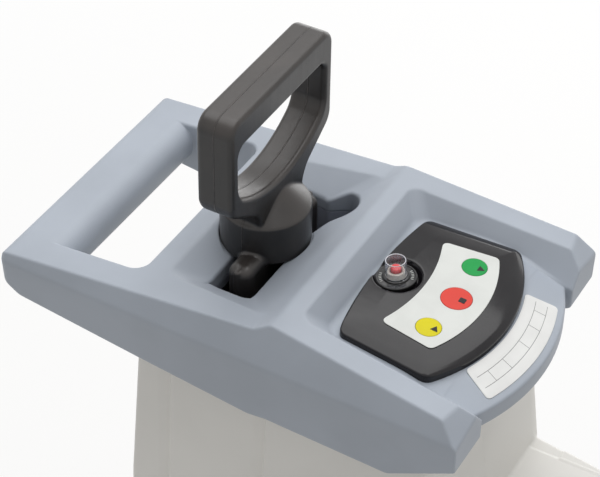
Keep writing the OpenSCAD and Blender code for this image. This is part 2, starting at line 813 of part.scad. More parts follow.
// Housing in two halves: a tower under the cover and a nose over the motor
function tower_grow(z) = (tower_top_z - z)*lean;
function nose_grow(z) = (nose_z - z)*lean;
module tower_slab(z, inset) {
  g = tower_grow(z) - inset;
  translate([0, 0, z]) linear_extrude(skin) for (x = [-1, 1], y = [-1, 1]) {
    far = y > 0 ? step_y + tower_rear : step_y - tower_front;
    translate([x*(tower_w/2 + g - housing_r), far + y*(g - housing_r)]) circle(housing_r, $fn = corner_fn);
  }
}
nose_set_in = 0.8;
module nose_slab(z, inset) {
  g = nose_grow(z) - inset;
  side = tower_w/2 + tower_grow(nose_z) + g - housing_r - nose_set_in;
  translate([0, 0, z]) linear_extrude(skin) for (x = [-1, 1]) {
    translate([x*(nose_w/2 + g - housing_r), step_y - nose_front - g + housing_r])
      circle(housing_r, $fn = corner_fn);
    translate([x*side, step_y - tower_front + 30]) circle(housing_r, $fn = corner_fn);
  }
}
module tower_solid(inset, top, low) { hull() { tower_slab(top, inset); tower_slab(low, inset); } }
module nose_solid(inset, top, low) { hull() { nose_slab(top, inset); nose_slab(low, inset); } }
function rear_wall(z) = step_y + tower_rear + tower_grow(z);
half_screw_r = 2;
half_boss_r = 6;
half_screw_depth = 14;
half_head_x = 16;
// Y and Z of each screw that joins the halves, then the reach of its boss into the side wall
nose_boss_y = step_y - nose_front + 24;
rear_boss_y = step_y + tower_rear - 10;
function nose_reach(z) = nose_w/2 + nose_grow(z) + 0.5;
function tower_reach(z) = tower_w/2 + tower_grow(z) - housing_wall/2;
function half_screws() = [
  [nose_boss_y, deck_z + 22, nose_reach(deck_z + 22)],
  [nose_boss_y, nose_z - 18, nose_reach(nose_z - 18)],
  [rear_boss_y, tower_top_z - 26, tower_reach(tower_top_z - 26)],
  [step_y - tower_front + 14, tower_top_z - 26, tower_reach(tower_top_z - 26)],
  [rear_boss_y, frame_top + 24, tower_reach(frame_top + 24)]];
inlet_z = nose_z + inlet_h;
inlet_half = inlet_w/2 + 0.3;
module on_rear_wall(z) { translate([0, rear_wall(z), z]) rotate([housing_lean, 0, 0]) children(); }
knob_hole_r = screw_d/2 + 1.5;
cover_post_h = 14;
// One half of the housing on the -X side; right is true for the half that takes the screw heads
module housing_half(right) {
  side = right ? 1 : -1;
  far = base_w;
  low = deck_z;
  difference() {
    intersection() {
      union() {
        difference() {
          union() {
            tower_solid(0, tower_top_z, low);
            nose_solid(0, nose_z, low);
          }
          tower_solid(housing_wall, tower_top_z + past, low - past);
          nose_solid(housing_wall, nose_z - housing_wall, low - past);
        }
        for (s = half_screws()) translate([0, s.x, s.y]) rod_x(half_boss_r, -s.z, s.z);
        at_step() cover_screw_places() translate([0, 0, -cover_post_h])
          cylinder(r = boss_r + 1, h = cover_post_h);
        at_step() for (x = [-1, 1], y = [boss_rear, boss_front])
          translate([x > 0 ? boss_x : -tower_w/2 + 2, y - 3, cover_boss_z - cover_post_h])
            cube([tower_w/2 - boss_x - 2, 6, cover_post_h]);
      }
      span([right ? 0 : -far, -far, 0], [right ? far : 0, far, cover_z]);
    }
    for (s = half_screws()) translate([0, s.x, s.y]) {
      if (right) rod_x(half_screw_r + 0.3, -past, half_head_x + past);
      if (right) rod_x(5, half_head_x, far);
      if (!right) rod_x(half_screw_r + thread_gap, -half_screw_depth, past);
    }
    at_step() cover_screw_places() translate([0, 0, -cover_post_h - past])
      cylinder(r = screw_r + 0.3, h = cover_post_h + 2*past);
    at_adjuster() rod_y(knob_hole_r, axis_roller + 60, far);
    on_rear_wall(inlet_z) span([-inlet_half, -12, -inlet_half], [inlet_half, past, inlet_half]);
    for (y = groove_places()) translate([side*(tower_w/2 + tower_grow(nose_z)), y, nose_z])
      rotate([0, side*-housing_lean, 0]) translate([-groove_d, -groove_w/2, -groove_low])
        cube([2*groove_d, groove_w, groove_low + nose_drop]);
  }
}
groove_low = 130;
groove_rear = 28;
groove_step = 2;
function groove_places() = [step_y + tower_rear - groove_rear, step_y - groove_step];
module housing_left() { color(pale_grey) housing_half(false); }
module housing_right() { color(pale_grey) housing_half(true); }
module housing_screws() {
  color(steel) for (s = half_screws()) translate([0, s.x, s.y]) {
    rod_x(half_screw_r, -half_screw_depth + past, half_head_x + past);
    rod_x(4, half_head_x, half_head_x + 3);
  }
}
cover_head_r = 4.5;
cover_head_h = 3;
cover_bite = 11;
module cover_screws() {
  color(steel) at_step() cover_screw_places() {
    translate([0, 0, -cover_post_h - cover_head_h]) cylinder(r = cover_head_r, h = cover_head_h);
    translate([0, 0, -cover_post_h - past]) cylinder(r = screw_r, h = cover_post_h + cover_bite + past);
  }
}

// Base with its runners, wheels and feet
shoulder_z = deck_z - shoulder_h;
axle_boss = 6;
runner_z = wheel_r + axle_d/2 + axle_boss;
runner_t = 4;
shoulder_top_w = tower_w + 44;
module base_slab(z, half, front, rear, r) {
  translate([0, 0, z]) linear_extrude(skin) for (x = [-1, 1], y = [front + r, rear - r])
    translate([x*(half - r), y]) circle(r, $fn = corner_fn);
}
module base_shoulder(inset, top) {
  hull() {
    base_slab(shoulder_z - skin, base_w/2 - inset, base_front + inset, base_rear - inset, base_r);
    base_slab(top - skin, shoulder_top_w/2 - inset, base_front + inset, base_rear - 34 - inset, base_r);
  }
}
inner_half = base_w/2 - base_wall;
latch_x = latch_w/2;
latch_overlap = 8;
latch_low = shoulder_z - base_wall - 2 - latch_overlap;
tail_w = 8;
tail_slot = 10;
arch_h = 34;
arch_r = 20;
panel_sink = 1.5;
// Opening under each side, between the foot and the wheel
module base_arch() {
  round_rect([base_front + foot_d + 40, -arch_r], [axle_y - wheel_r - 24, base_gap + arch_h], arch_r);
}
// Shallow panel in each side
module side_panel() {
  top = shoulder_z - 24;
  low = base_gap + arch_h + 40;
  round_rect([base_front + 34, low + 40], [base_rear - 30, top], arch_r);
}
module base_frame() {
  color([0.30, 0.32, 0.34]) difference() {
    union() {
      difference() {
        union() {
          translate([0, 0, base_gap]) linear_extrude(shoulder_z - base_gap)
            round_rect([-base_w/2, base_front], [base_w/2, base_rear], base_r);
          base_shoulder(0, deck_z);
        }
        span([-inner_half, base_front - past, base_gap - past],
          [inner_half, base_rear - base_wall, shoulder_z - base_wall]);
        base_shoulder(base_wall, deck_z - deck_t);
        span([-inner_half + 12, base_front + base_wall, shoulder_z - 2*base_wall],
          [inner_half - 12, base_rear - base_wall - 12, shoulder_z]);
      }
      mirror_pair() {
        span([inner_half - runner_w, base_front + 6, runner_z - runner_t],
          [inner_half + past, base_rear - past, runner_z]);
        at_axle() rod_x(axle_d/2 + axle_boss, inner_half - runner_w, inner_half + past);
        span([inner_half - foot_d - 4, base_front + 6, base_gap],
          [inner_half + past, base_front + foot_d + 12, base_gap + 6]);
      }
    }
    at_axle() rod_x(axle_d/2 + thread_gap, -base_w, base_w);
    extrude_x(base_w + 2*past) base_arch();
    mirror_pair() slab_x(base_w/2 - panel_sink, base_w/2 + past) side_panel();
    span([frame_left + frame_t, frame_front + frame_t, shoulder_z], [plate_x, pressure_y, deck_z + past]);
    span([-tail_slot/2, base_front - past, tail_z - latch_travel - past],
      [tail_slot/2, base_front + base_wall + past, tail_z + tail_h + past]);
  }
}
box_half = inner_half - 4;
box_low = runner_z + box_gap;
box_top = shoulder_z - base_wall - 6;
front_t = 4;
panel_top = shoulder_z - base_wall - 2;
grip_z = panel_top - 70;
grip_lip = 6;
pocket_d = 22;
pocket_h = 30;
pocket_half = grip_w/2 - 9;
bezel_t = 2;
module collection_box() {
  back = base_front + front_t + box_l;
  hole = pocket_half + box_gap;
  color(cover_grey) difference() {
    union() {
      difference() {
        span([-box_half, base_front, box_low], [box_half, back, box_top]);
        span([-box_half + box_wall, base_front + front_t, box_low + box_wall],
          [box_half - box_wall, back - box_wall, box_top + past]);
      }
      span([-inner_half + 2, base_front, base_gap + 8], [inner_half - 2, base_front + front_t, panel_top]);
    }
    span([-hole, base_front - past, grip_z - pocket_h - box_gap],
      [hole, base_front + front_t + past, grip_z + grip_t + box_gap]);
  }
}
// Pull grip with its finger pocket, clipped into the box's front panel
module box_grip() {
  color(near_black) difference() {
    union() {
      span([-grip_w/2, base_front - grip_d, grip_z],
        [grip_w/2, base_front - bezel_t + skin, grip_z + grip_t]);
      span([-grip_w/2, base_front - bezel_t, grip_z - pocket_h - bezel_w],
        [grip_w/2, base_front, grip_z + grip_t + bezel_w]);
      span([-pocket_half, base_front - bezel_t, grip_z - pocket_h],
        [pocket_half, base_front + pocket_d, grip_z + grip_t]);
    }
    span([-pocket_half + box_wall, base_front - grip_d + grip_lip, grip_z - pocket_h + box_wall],
      [pocket_half - box_wall, base_front + pocket_d - box_wall, grip_z + grip_t - box_wall]);
  }
}
bezel_w = 4;
// Latch that slides down in front of the box; its tail works the interlock switch
latch_z = latch_low + latch_travel;
latch_t = 8;
latch_h = 26;
tail_z = latch_z + 10;
tail_h = 6;
tail_l = 5;
module box_latch() {
  color("firebrick") union() {
    span([-latch_x, base_front - latch_t, latch_z], [latch_x, base_front - box_gap, latch_z + latch_h]);
    span([-latch_x + 4, base_front - latch_t - 3, latch_z + 18],
      [latch_x - 4, base_front - latch_t + past, latch_z + 24]);
    span([-tail_w/2, base_front - latch_t/2, tail_z],
      [tail_w/2, base_front + base_wall + tail_l, tail_z + tail_h]);
  }
}
switch_d = 14;
module interlock_switch() {
  half = 16;
  y = base_front + base_wall;
  low = panel_top + 4;
  top = latch_z + 20;
  color([0.2, 0.2, 0.22]) difference() {
    span([-half, y, low], [half, y + switch_d, top]);
    span([-tail_slot/2 - past, y - past, low - past], [tail_slot/2 + past, y + tail_l + past, top + past]);
  }
}
wheel_x0 = base_w/2 + spacer_w + 0.3;
wheel_x1 = wheel_x0 + wheel_w;
axle_end = wheel_x1 - 3;
hub_r = axle_d/2 + 8;
module at_axle() { translate([0, axle_y, wheel_r]) children(); }
module wheel_axle() { color(steel) at_axle() rod_x(axle_d/2, -axle_end, axle_end); }
spacer_wall = 7;
module axle_spacers() {
  color(near_black) at_axle() mirror_pair()
    ring_x(axle_d/2 + spacer_wall, axle_d/2 + thread_gap, base_w/2, base_w/2 + spacer_w);
}
rim_r = wheel_r - tyre_h;
module wheel_right() {
  color([0.75, 0.75, 0.73]) at_axle() difference() {
    union() {
      rod_x(hub_r, wheel_x0, wheel_x1 - 2);
      ring_x(rim_r, rim_r - 6, wheel_x0 + 3, wheel_x1 - 3);
      rod_x(rim_r - past, wheel_x0 + wheel_w/2 - 4, wheel_x0 + wheel_w/2 + 4);
    }
    rod_x(axle_d/2 + axle_gap, 0, base_w);
    for (a = [0:60:300]) rotate([a, 0, 0]) translate([0, (hub_r + rim_r - 6)/2, 0]) rod_x(9, 0, base_w);
  }
}
module wheel_left() { mirror([1, 0, 0]) wheel_right(); }
module tyre_right() {
  crown = 4;
  x0 = wheel_x0 + 1;
  x1 = wheel_x1 - 1;
  color(near_black) at_axle() rotate([0, 90, 0]) rotate_extrude()
    polygon([[rim_r, x0], [wheel_r - crown, x0], [wheel_r, x0 + 2*crown], [wheel_r, x1 - 2*crown],
      [wheel_r - crown, x1], [rim_r, x1]]);
}
module tyre_left() { mirror([1, 0, 0]) tyre_right(); }
module hub_cap_right() {
  color([0.62, 0.66, 0.71]) at_axle() difference() {
    rod_x(hub_r, wheel_x1 - 2, wheel_x1 + 2);
    rod_x(axle_d/2 + 1, wheel_x1 - 2 - past, wheel_x1 - 1);
  }
}
module hub_cap_left() { mirror([1, 0, 0]) hub_cap_right(); }
module front_feet() {
  place = [inner_half - foot_d/2 - 3, base_front + foot_d/2 + 9, 0];
  color(near_black) mirror_pair() translate(place) union() {
    cylinder(d1 = foot_d - 4, d2 = foot_d, h = 6);
    translate([0, 0, 6]) cylinder(d = foot_d, h = base_gap - 6);
  }
}

// Motor: its axis lies across the machine under the nose
can_right = plate_x;
can_left = plate_x - can_l;
stator_l = 70;
stator_left = can_left + 24;
winding_l = 15;
rotor_r = can_d/4 + 1;
air_gap = 0.6;
fan_l = 12;
module at_motor() { translate([0, axis_motor, drive_z]) children(); }
module at_layshaft() { translate([0, axis_lay, drive_z]) children(); }
module at_adjuster() { translate([adjust_x, 0, drive_z]) children(); }
module at_roller() { translate([0, axis_roller, drive_z]) children(); }
module motor_can() {
  color([0.35, 0.36, 0.38]) at_motor() difference() {
    rod_x(can_d/2, can_left, can_right);
    rod_x(can_d/2 - can_wall, can_left + 5, can_right + past);
    rod_x(shaft_d/2 + 5, can_left - past, can_left + 5 + past);
  }
}
module stator_core() {
  color(steel) at_motor()
    ring_x(can_d/2 - can_wall - 0.1, rotor_r + air_gap, stator_left, stator_left + stator_l);
}
module stator_windings() {
  color([0.72, 0.42, 0.2]) at_motor() for (x = [stator_left - winding_l, stator_left + stator_l])
    ring_x(can_d/2 - can_wall - 3, rotor_r + 4, x, x + winding_l);
}
module rotor_core() {
  color(aluminium) at_motor() ring_x(rotor_r, shaft_d/2, stator_left, stator_left + stator_l);
}
shaft_end = gear_x1 + gear_w + 3;
module motor_shaft() { color(steel) at_motor() rod_x(shaft_d/2, can_left - fan_l - 6, shaft_end); }
module motor_fan() {
  blades = 9;
  outer = can_d/2 - 12;
  x1 = can_left - 2;
  color(near_black) at_motor() difference() {
    union() {
      rod_x(shaft_d/2 + 5, x1 - fan_l, x1);
      rod_x(outer, x1 - 2, x1);
      for (i = [0:blades - 1]) rotate([i*360/blades, 0, 0])
        span([x1 - fan_l, -1, shaft_d/2 + 2], [x1 - past, 1, outer - 1]);
    }
    rod_x(shaft_d/2, can_left - 2*fan_l, can_left + past);
  }
}

// Spur gear along X from a to b; turn lays a tooth or a gap on the line to its mate
tooth_share = 0.40;
module spur_gear(teeth, a, b, bore, turn) {
  r = pitch_r(teeth);
  top = r + gear_addendum;
  root = r - gear_dedendum;
  half = 360*tooth_share/teeth/2;
  tip = half*0.55;
  foot = half*1.35;
  points = [for (i = [0:teeth - 1], p = [[root, -foot], [top, -tip], [top, tip], [root, foot]])
    let (angle = turn + i*360/teeth + p.y) [p.x*cos(angle), p.x*sin(angle)]];
  translate([(a + b)/2, 0, 0]) rotate([90, 0, 90]) linear_extrude(b - a, center = true) difference() {
    polygon(points);
    circle(bore);
  }
}
half_pinion_tooth = 180/pinion_teeth;
half_small_tooth = 180/small_teeth;
module motor_pinion() {
  color(steel) at_motor() spur_gear(pinion_teeth, gear_x1, gear_x1 + gear_w, shaft_d/2, half_pinion_tooth);
}
module layshaft() { color(steel) at_layshaft() rod_x(shaft_d/2, plate_x, gearbox_end); }
module layshaft_gear() {
  color(steel) at_layshaft() spur_gear(gear_teeth, gear_x1, gear_x1 + gear_w, shaft_d/2, 180);
}
module layshaft_pinion() {
  color(steel) at_layshaft() spur_gear(small_teeth, gear_x2, gear_x2 + gear_w, shaft_d/2, half_small_tooth);
}
module final_gear() {
  color(steel) at_roller() spur_gear(final_teeth, gear_x2, gear_x2 + gear_w, roller_shaft_d/2, 180);
}
module roller_shaft() { color(steel) at_roller() rod_x(roller_shaft_d/2, frame_left, gearbox_end); }
roller_left = frame_left + frame_t + 7;
module cutting_roller() {
  teeth = 8;
  root = roller_d/2 - 11;
  points = [for (i = [0:teeth - 1], p = [[root, 0], [roller_d/2, 4], [roller_d/2, 10], [root + 2, 26]])
    let (angle = i*360/teeth + p.y) [p.x*cos(angle), p.x*sin(angle)]];
  color(steel) at_roller() translate([roller_left + roller_l/2, 0, 0]) rotate([90, 0, 90])
    linear_extrude(roller_l, center = true) difference() {
      polygon(points);
      circle(roller_shaft_d/2);
    }
}

// Gearbox, bearings and cutting frame
function gear_room(teeth) = pitch_r(teeth) + gear_addendum + drive_gap;
bearing_wall = 3;
motor_room = gear_room(pinion_teeth) + 4;
module gearbox_outline(grow) {
  translate([axis_roller, drive_z]) circle(gear_room(final_teeth) + grow);
  translate([axis_lay, drive_z]) circle(gear_room(gear_teeth) + grow);
  translate([axis_motor, drive_z]) circle(motor_room + grow);
}
module bearing_holes(a, b) {
  at_motor() rod_x(shaft_d/2 + bearing_wall, a, b);
  at_layshaft() rod_x(shaft_d/2 + bearing_wall, a, b);
  at_roller() rod_x(roller_shaft_d/2 + bearing_wall, a, b);
}
gearbox_screw_r = 2;
ear_r = 6;
ear_back = 20;
motor_ear = motor_room + gearbox_wall + 2;
lay_ear = sqrt(pow(gear_room(gear_teeth) + gearbox_wall + 2, 2) - ear_back*ear_back);
function gearbox_ears() = [
  [axis_motor, drive_z + motor_ear], [axis_motor, drive_z - motor_ear],
  [axis_lay - ear_back, drive_z + lay_ear], [axis_lay - ear_back, drive_z - lay_ear]];
module at_ears() {
  for (e = gearbox_ears()) translate([0, e.x, e.y]) children();
}
module gearbox_plan() {
  gearbox_outline(gearbox_wall);
  for (e = gearbox_ears()) translate(e) circle(ear_r);
}
module slab_x(a, b) { translate([(a + b)/2, 0, 0]) extrude_x(b - a) children(); }
module gearbox_housing() {
  color(aluminium) difference() {
    slab_x(plate_x, cover_x) gearbox_plan();
    slab_x(plate_x + plate_t, cover_x + past) gearbox_outline(0);
    bearing_holes(plate_x - past, plate_x + plate_t + past);
    at_ears() rod_x(gearbox_screw_r + thread_gap, cover_x - 14, cover_x + past);
  }
}
module gearbox_cover() {
  color(aluminium) difference() {
    slab_x(cover_x, gearbox_end) gearbox_plan();
    at_layshaft() rod_x(shaft_d/2 + bearing_wall, cover_x - past, gearbox_end + past);
    at_roller() rod_x(roller_shaft_d/2 + bearing_wall, cover_x - past, gearbox_end + past);
    at_ears() rod_x(gearbox_screw_r + 0.3, cover_x - past, gearbox_end + past);
  }
}
ear_bite = 12;
ear_head_r = 4;
ear_head_h = 2;
module gearbox_screws() {
  color(steel) at_ears() {
    rod_x(gearbox_screw_r, cover_x - ear_bite, gearbox_end + past);
    rod_x(ear_head_r, gearbox_end, gearbox_end + ear_head_h);
  }
}
module shaft_bearing(r, wall, a, b) { ring_x(r + wall, r + shaft_gap, a, b); }
module shaft_bearings() {
  color([0.6, 0.61, 0.63]) union() {
    at_motor() shaft_bearing(shaft_d/2, bearing_wall, plate_x, plate_x + plate_t);
    at_motor() shaft_bearing(shaft_d/2, 5, can_left, can_left + 5);
    at_layshaft() shaft_bearing(shaft_d/2, bearing_wall, plate_x, plate_x + plate_t);
    at_layshaft() shaft_bearing(shaft_d/2, bearing_wall, cover_x, gearbox_end);
    at_roller() shaft_bearing(roller_shaft_d/2, bearing_wall, plate_x, plate_x + plate_t);
    at_roller() shaft_bearing(roller_shaft_d/2, bearing_wall, cover_x, gearbox_end);
    at_roller() shaft_bearing(roller_shaft_d/2, bearing_wall, frame_left, frame_left + frame_t);
  }
}
module cutting_frame() {
  color(aluminium) difference() {
    span([frame_left, frame_front, deck_z], [plate_x, frame_rear, frame_top]);
    span([frame_left + frame_t, frame_front + frame_t, deck_z - past],
      [plate_x + past, frame_rear - frame_t, frame_top + past]);
    at_roller() rod_x(roller_shaft_d/2 + bearing_wall, frame_left - past, frame_left + frame_t + past);
    at_adjuster() rod_y(screw_d/2 + shaft_gap, frame_rear - frame_t - past, frame_rear + past);
  }
}
plate_gap = 0.3;
socket_end = pressure_y + 4;
module pressure_plate() {
  color(steel) difference() {
    span([frame_left + frame_t + plate_gap, pressure_y, drive_z - pressure_h/2],
      [plate_x - plate_gap, pressure_y + pressure_t, drive_z + pressure_h/2]);
    at_adjuster() rod_y(screw_d/2 + 0.3, socket_end, pressure_y + pressure_t + past);
  }
}
knob_y = rear_wall(drive_z - knob_d/2) + 1;
module adjusting_screw() {
  collar = frame_rear - frame_t - 0.3;
  color(steel) at_adjuster() union() {
    rod_y(screw_d/2, socket_end + pressure_travel + 1, knob_y + knob_l - 6);
    rod_y(screw_d/2 + 3, collar - 4, collar);
  }
}
module adjusting_knob() {
  lobes = 10;
  color(near_black) at_adjuster() difference() {
    union() {
      rod_y(knob_d/2, knob_y, knob_y + knob_l - 4);
      rod_y(knob_d/2 - 5, knob_y, knob_y + knob_l);
    }
    for (i = [0:lobes - 1]) rotate([0, i*360/lobes, 0]) translate([knob_d/2 + 2, 0, 0])
      rod_y(5, knob_y + 4, knob_y + knob_l + past);
    rod_y(screw_d/2, knob_y - past, knob_y + knob_l - 6);
  }
}

// Capacitor on the motor, power inlet on the tower's rear wall
capacitor_y = axis_motor + 14;
saddle_h = 5;
capacitor_z = drive_z + can_d/2 + saddle_h + capacitor_d/2;
capacitor_left = -capacitor_l/2 - 14;
module capacitor() {
  color([0.85, 0.85, 0.83]) translate([0, capacitor_y, capacitor_z]) union() {
    rod_x(capacitor_d/2, capacitor_left, capacitor_left + capacitor_l);
    rod_x(capacitor_d/4, capacitor_left + capacitor_l - past, capacitor_left + capacitor_l + 8);
  }
}
module capacitor_saddle() {
  w = 34;
  color(near_black) difference() {
    translate([0, capacitor_y, 0]) span([capacitor_left + 20, -w/2, drive_z + can_d/2 - 14],
      [capacitor_left + 50, w/2, capacitor_z - capacitor_d/4]);
    translate([0, capacitor_y, capacitor_z]) rod_x(capacitor_d/2 + 0.1, -base_w, base_w);
    at_motor() rod_x(can_d/2 + 0.1, -base_w, base_w);
  }
}
flange_t = 3;
seat_gap = 0.1;
flange_w = inlet_w + 12;
flap_t = 2.5;
flap_r = 2.5;
flap_pin_r = 1.2;
flap_z = flange_w/2 - flap_r - 1;
flap_y = flange_t + flap_r + 0.5;
ear_w = 3;
module power_inlet() {
  color(near_black) on_rear_wall(inlet_z) difference() {
    union() {
      span([-flange_w/2, seat_gap, -flange_w/2], [flange_w/2, flange_t, flange_w/2]);
      span([-inlet_w/2, -26, -inlet_w/2], [inlet_w/2, past, inlet_w/2]);
      for (x = [-1, 1]) translate([x*(flange_w/2 - ear_w/2), 0, 0])
        span([-ear_w/2, seat_gap, flap_z - flap_r], [ear_w/2, flap_y + flap_r, flap_z + flap_r]);
    }
    difference() {
      rod_y(inlet_w/2 - 4, -20, flange_t + past);
      for (x = [-9, 9]) translate([x, 0, -4]) rod_y(2.2, -21, -4);
      translate([0, 0, 9]) rod_y(2.4, -21, -4);
    }
    translate([0, flap_y, flap_z]) rod_x(flap_pin_r + axle_gap, -flange_w, flange_w);
  }
}
module inlet_flap() {
  half = flange_w/2 - ear_w - 0.4;
  color([0.16, 0.16, 0.17]) on_rear_wall(inlet_z) union() {
    span([-half, flange_t + 0.4, -flange_w/2 + 2], [half, flange_t + 0.4 + flap_t, flap_z]);
    translate([0, flap_y, flap_z]) rod_x(flap_r, -half, half);
    translate([0, flap_y, flap_z]) rod_x(flap_pin_r, -flange_w/2, flange_w/2);
    span([-12, flange_t + flap_t, -flange_w/2 + 2], [12, flange_t + flap_t + 4, -flange_w/2 + 5]);
  }
}

top_cover();
feed_chute();
plunger();
control_panel();
keypad_film();
start_button();
stop_button();
reverse_button();
button_board();
breaker_body();
breaker_nut();
reset_button();
clear_cap();
rating_plate();
housing_left();
housing_right();
housing_screws();
cover_screws();
base_frame();
collection_box();
box_grip();
box_latch();
interlock_switch();
wheel_axle();
axle_spacers();
wheel_left();
wheel_right();
tyre_left();
tyre_right();
hub_cap_left();
hub_cap_right();
front_feet();
motor_can();
stator_core();
stator_windings();
rotor_core();
motor_shaft();
motor_fan();
motor_pinion();
layshaft();
layshaft_gear();
layshaft_pinion();
final_gear();
roller_shaft();
cutting_roller();
gearbox_housing();
gearbox_cover();
gearbox_screws();
shaft_bearings();
cutting_frame();
pressure_plate();
adjusting_screw();
adjusting_knob();
capacitor();
capacitor_saddle();
power_inlet();
inlet_flap();
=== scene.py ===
"""Looks of a garden shredder: moulded shells, keypad, plunger, wheels and finishes around its frame."""

import json
import logging
import math
from dataclasses import dataclass, field
from enum import Enum
from typing import Any, Iterable, Optional, Sequence, Union

import bmesh
import bpy
import numpy as np
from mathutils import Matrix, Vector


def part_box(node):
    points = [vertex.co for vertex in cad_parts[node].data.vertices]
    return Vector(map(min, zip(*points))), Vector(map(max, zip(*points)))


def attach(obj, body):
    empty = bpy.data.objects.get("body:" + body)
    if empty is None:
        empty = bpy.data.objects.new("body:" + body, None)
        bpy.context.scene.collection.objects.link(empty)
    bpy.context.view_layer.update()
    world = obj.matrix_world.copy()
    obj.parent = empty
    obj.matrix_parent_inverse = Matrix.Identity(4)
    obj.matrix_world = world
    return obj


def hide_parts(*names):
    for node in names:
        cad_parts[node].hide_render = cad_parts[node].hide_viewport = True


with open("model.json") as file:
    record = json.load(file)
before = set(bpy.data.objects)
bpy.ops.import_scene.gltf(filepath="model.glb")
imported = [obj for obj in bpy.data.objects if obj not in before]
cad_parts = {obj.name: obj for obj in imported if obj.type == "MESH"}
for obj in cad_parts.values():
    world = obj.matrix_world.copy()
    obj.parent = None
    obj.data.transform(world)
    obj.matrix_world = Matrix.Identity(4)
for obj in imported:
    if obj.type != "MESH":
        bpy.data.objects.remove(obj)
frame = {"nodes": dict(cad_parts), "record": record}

import openvdb
from mathutils import Matrix, Vector

log = logging.getLogger("shredder")
MM = 0.001
Colour = tuple[float, float, float]
Point = tuple[float, float, float]
Corner = tuple[float, float]


class Body(Enum):
    """Bodies of the frame that pieces ride on."""

    MACHINE = "machine"
    PLUNGER = "plunger"
    START = "start_button"
    STOP = "stop_button"
    REVERSE = "reverse_button"
    RESET = "reset_button"
    BOX = "collection_box"
    LATCH = "box_latch"
    WHEEL_LEFT = "wheel_left"
    WHEEL_RIGHT = "wheel_right"


class Axis(Enum):
    """Axis of the row, by its place in a point."""

    X = 0
    Y = 1
    Z = 2


def srgb(*screen: float) -> Colour:
    """Turns screen values from 0 to 255 into linear light."""
    shares = (value / 255.0 for value in screen)
    return tuple(v / 12.92 if v <= 0.04045 else ((v + 0.055) / 1.055) ** 2.4 for v in shares)


def scaled(colour: Colour, factor: float) -> Colour:
    """Darkens or brightens a colour, up to white."""
    return tuple(min(1.0, c * factor) for c in colour)


def paler(colour: Colour, share: float) -> Colour:
    """Moves a colour a share of the way to white."""
    return tuple(c + (1.0 - c) * share for c in colour)


def put(name: str, data: bpy.types.ID) -> bpy.types.Object:
    """Puts a new object with its data in the scene.

    Args:
        name: Its name.
        data: Its data.

    Returns:
        The object.
    """
    made = bpy.data.objects.new(name, data)
    bpy.context.scene.collection.objects.link(made)
    return made


class Signal:
    """A shader socket that takes part in Python arithmetic."""

    def __init__(self, sheet: "Sheet", socket: bpy.types.NodeSocket) -> None:
        """Keeps the sheet of nodes and the socket."""
        self.sheet = sheet
        self.socket = socket

    def _maths(self, operation: str, first: Any, second: Any) -> "Signal":
        """Adds one Math node."""
        return self.sheet.node("ShaderNodeMath", {"operation": operation}, {0: first, 1: second})

    def __add__(self, other: Any) -> "Signal":
        """Sum."""
        return self._maths("ADD", self, other)

    __radd__ = __add__

    def __sub__(self, other: Any) -> "Signal":
        """Difference."""
        return self._maths("SUBTRACT", self, other)

    def __rsub__(self, other: Any) -> "Signal":
        """Difference with the sides swapped."""
        return self._maths("SUBTRACT", other, self)

    def __mul__(self, other: Any) -> "Signal":
        """Product."""
        return self._maths("MULTIPLY", self, other)

    __rmul__ = __mul__

    def __truediv__(self, other: Any) -> "Signal":
        """Quotient."""
        return self._maths("DIVIDE", self, other)

    def __abs__(self) -> "Signal":
        """Size without sign."""
        return self._maths("ABSOLUTE", self, 0.0)

    def ramp(self, low: float, high: float, smooth: bool = True) -> "Signal":
        """Maps low to 0 and high to 1, held at both ends.

        Args:
            low: Value that becomes 0.
            high: Value that becomes 1.
            smooth: Eases in and out when true.

        Returns:
            The mapped signal.
        """
        kind = "SMOOTHSTEP" if smooth else "LINEAR"
        return self.sheet.node("ShaderNodeMapRange", {"interpolation_type": kind, "clamp": True},
                               {0: self, 1: low, 2: high, 3: 0.0, 4: 1.0})


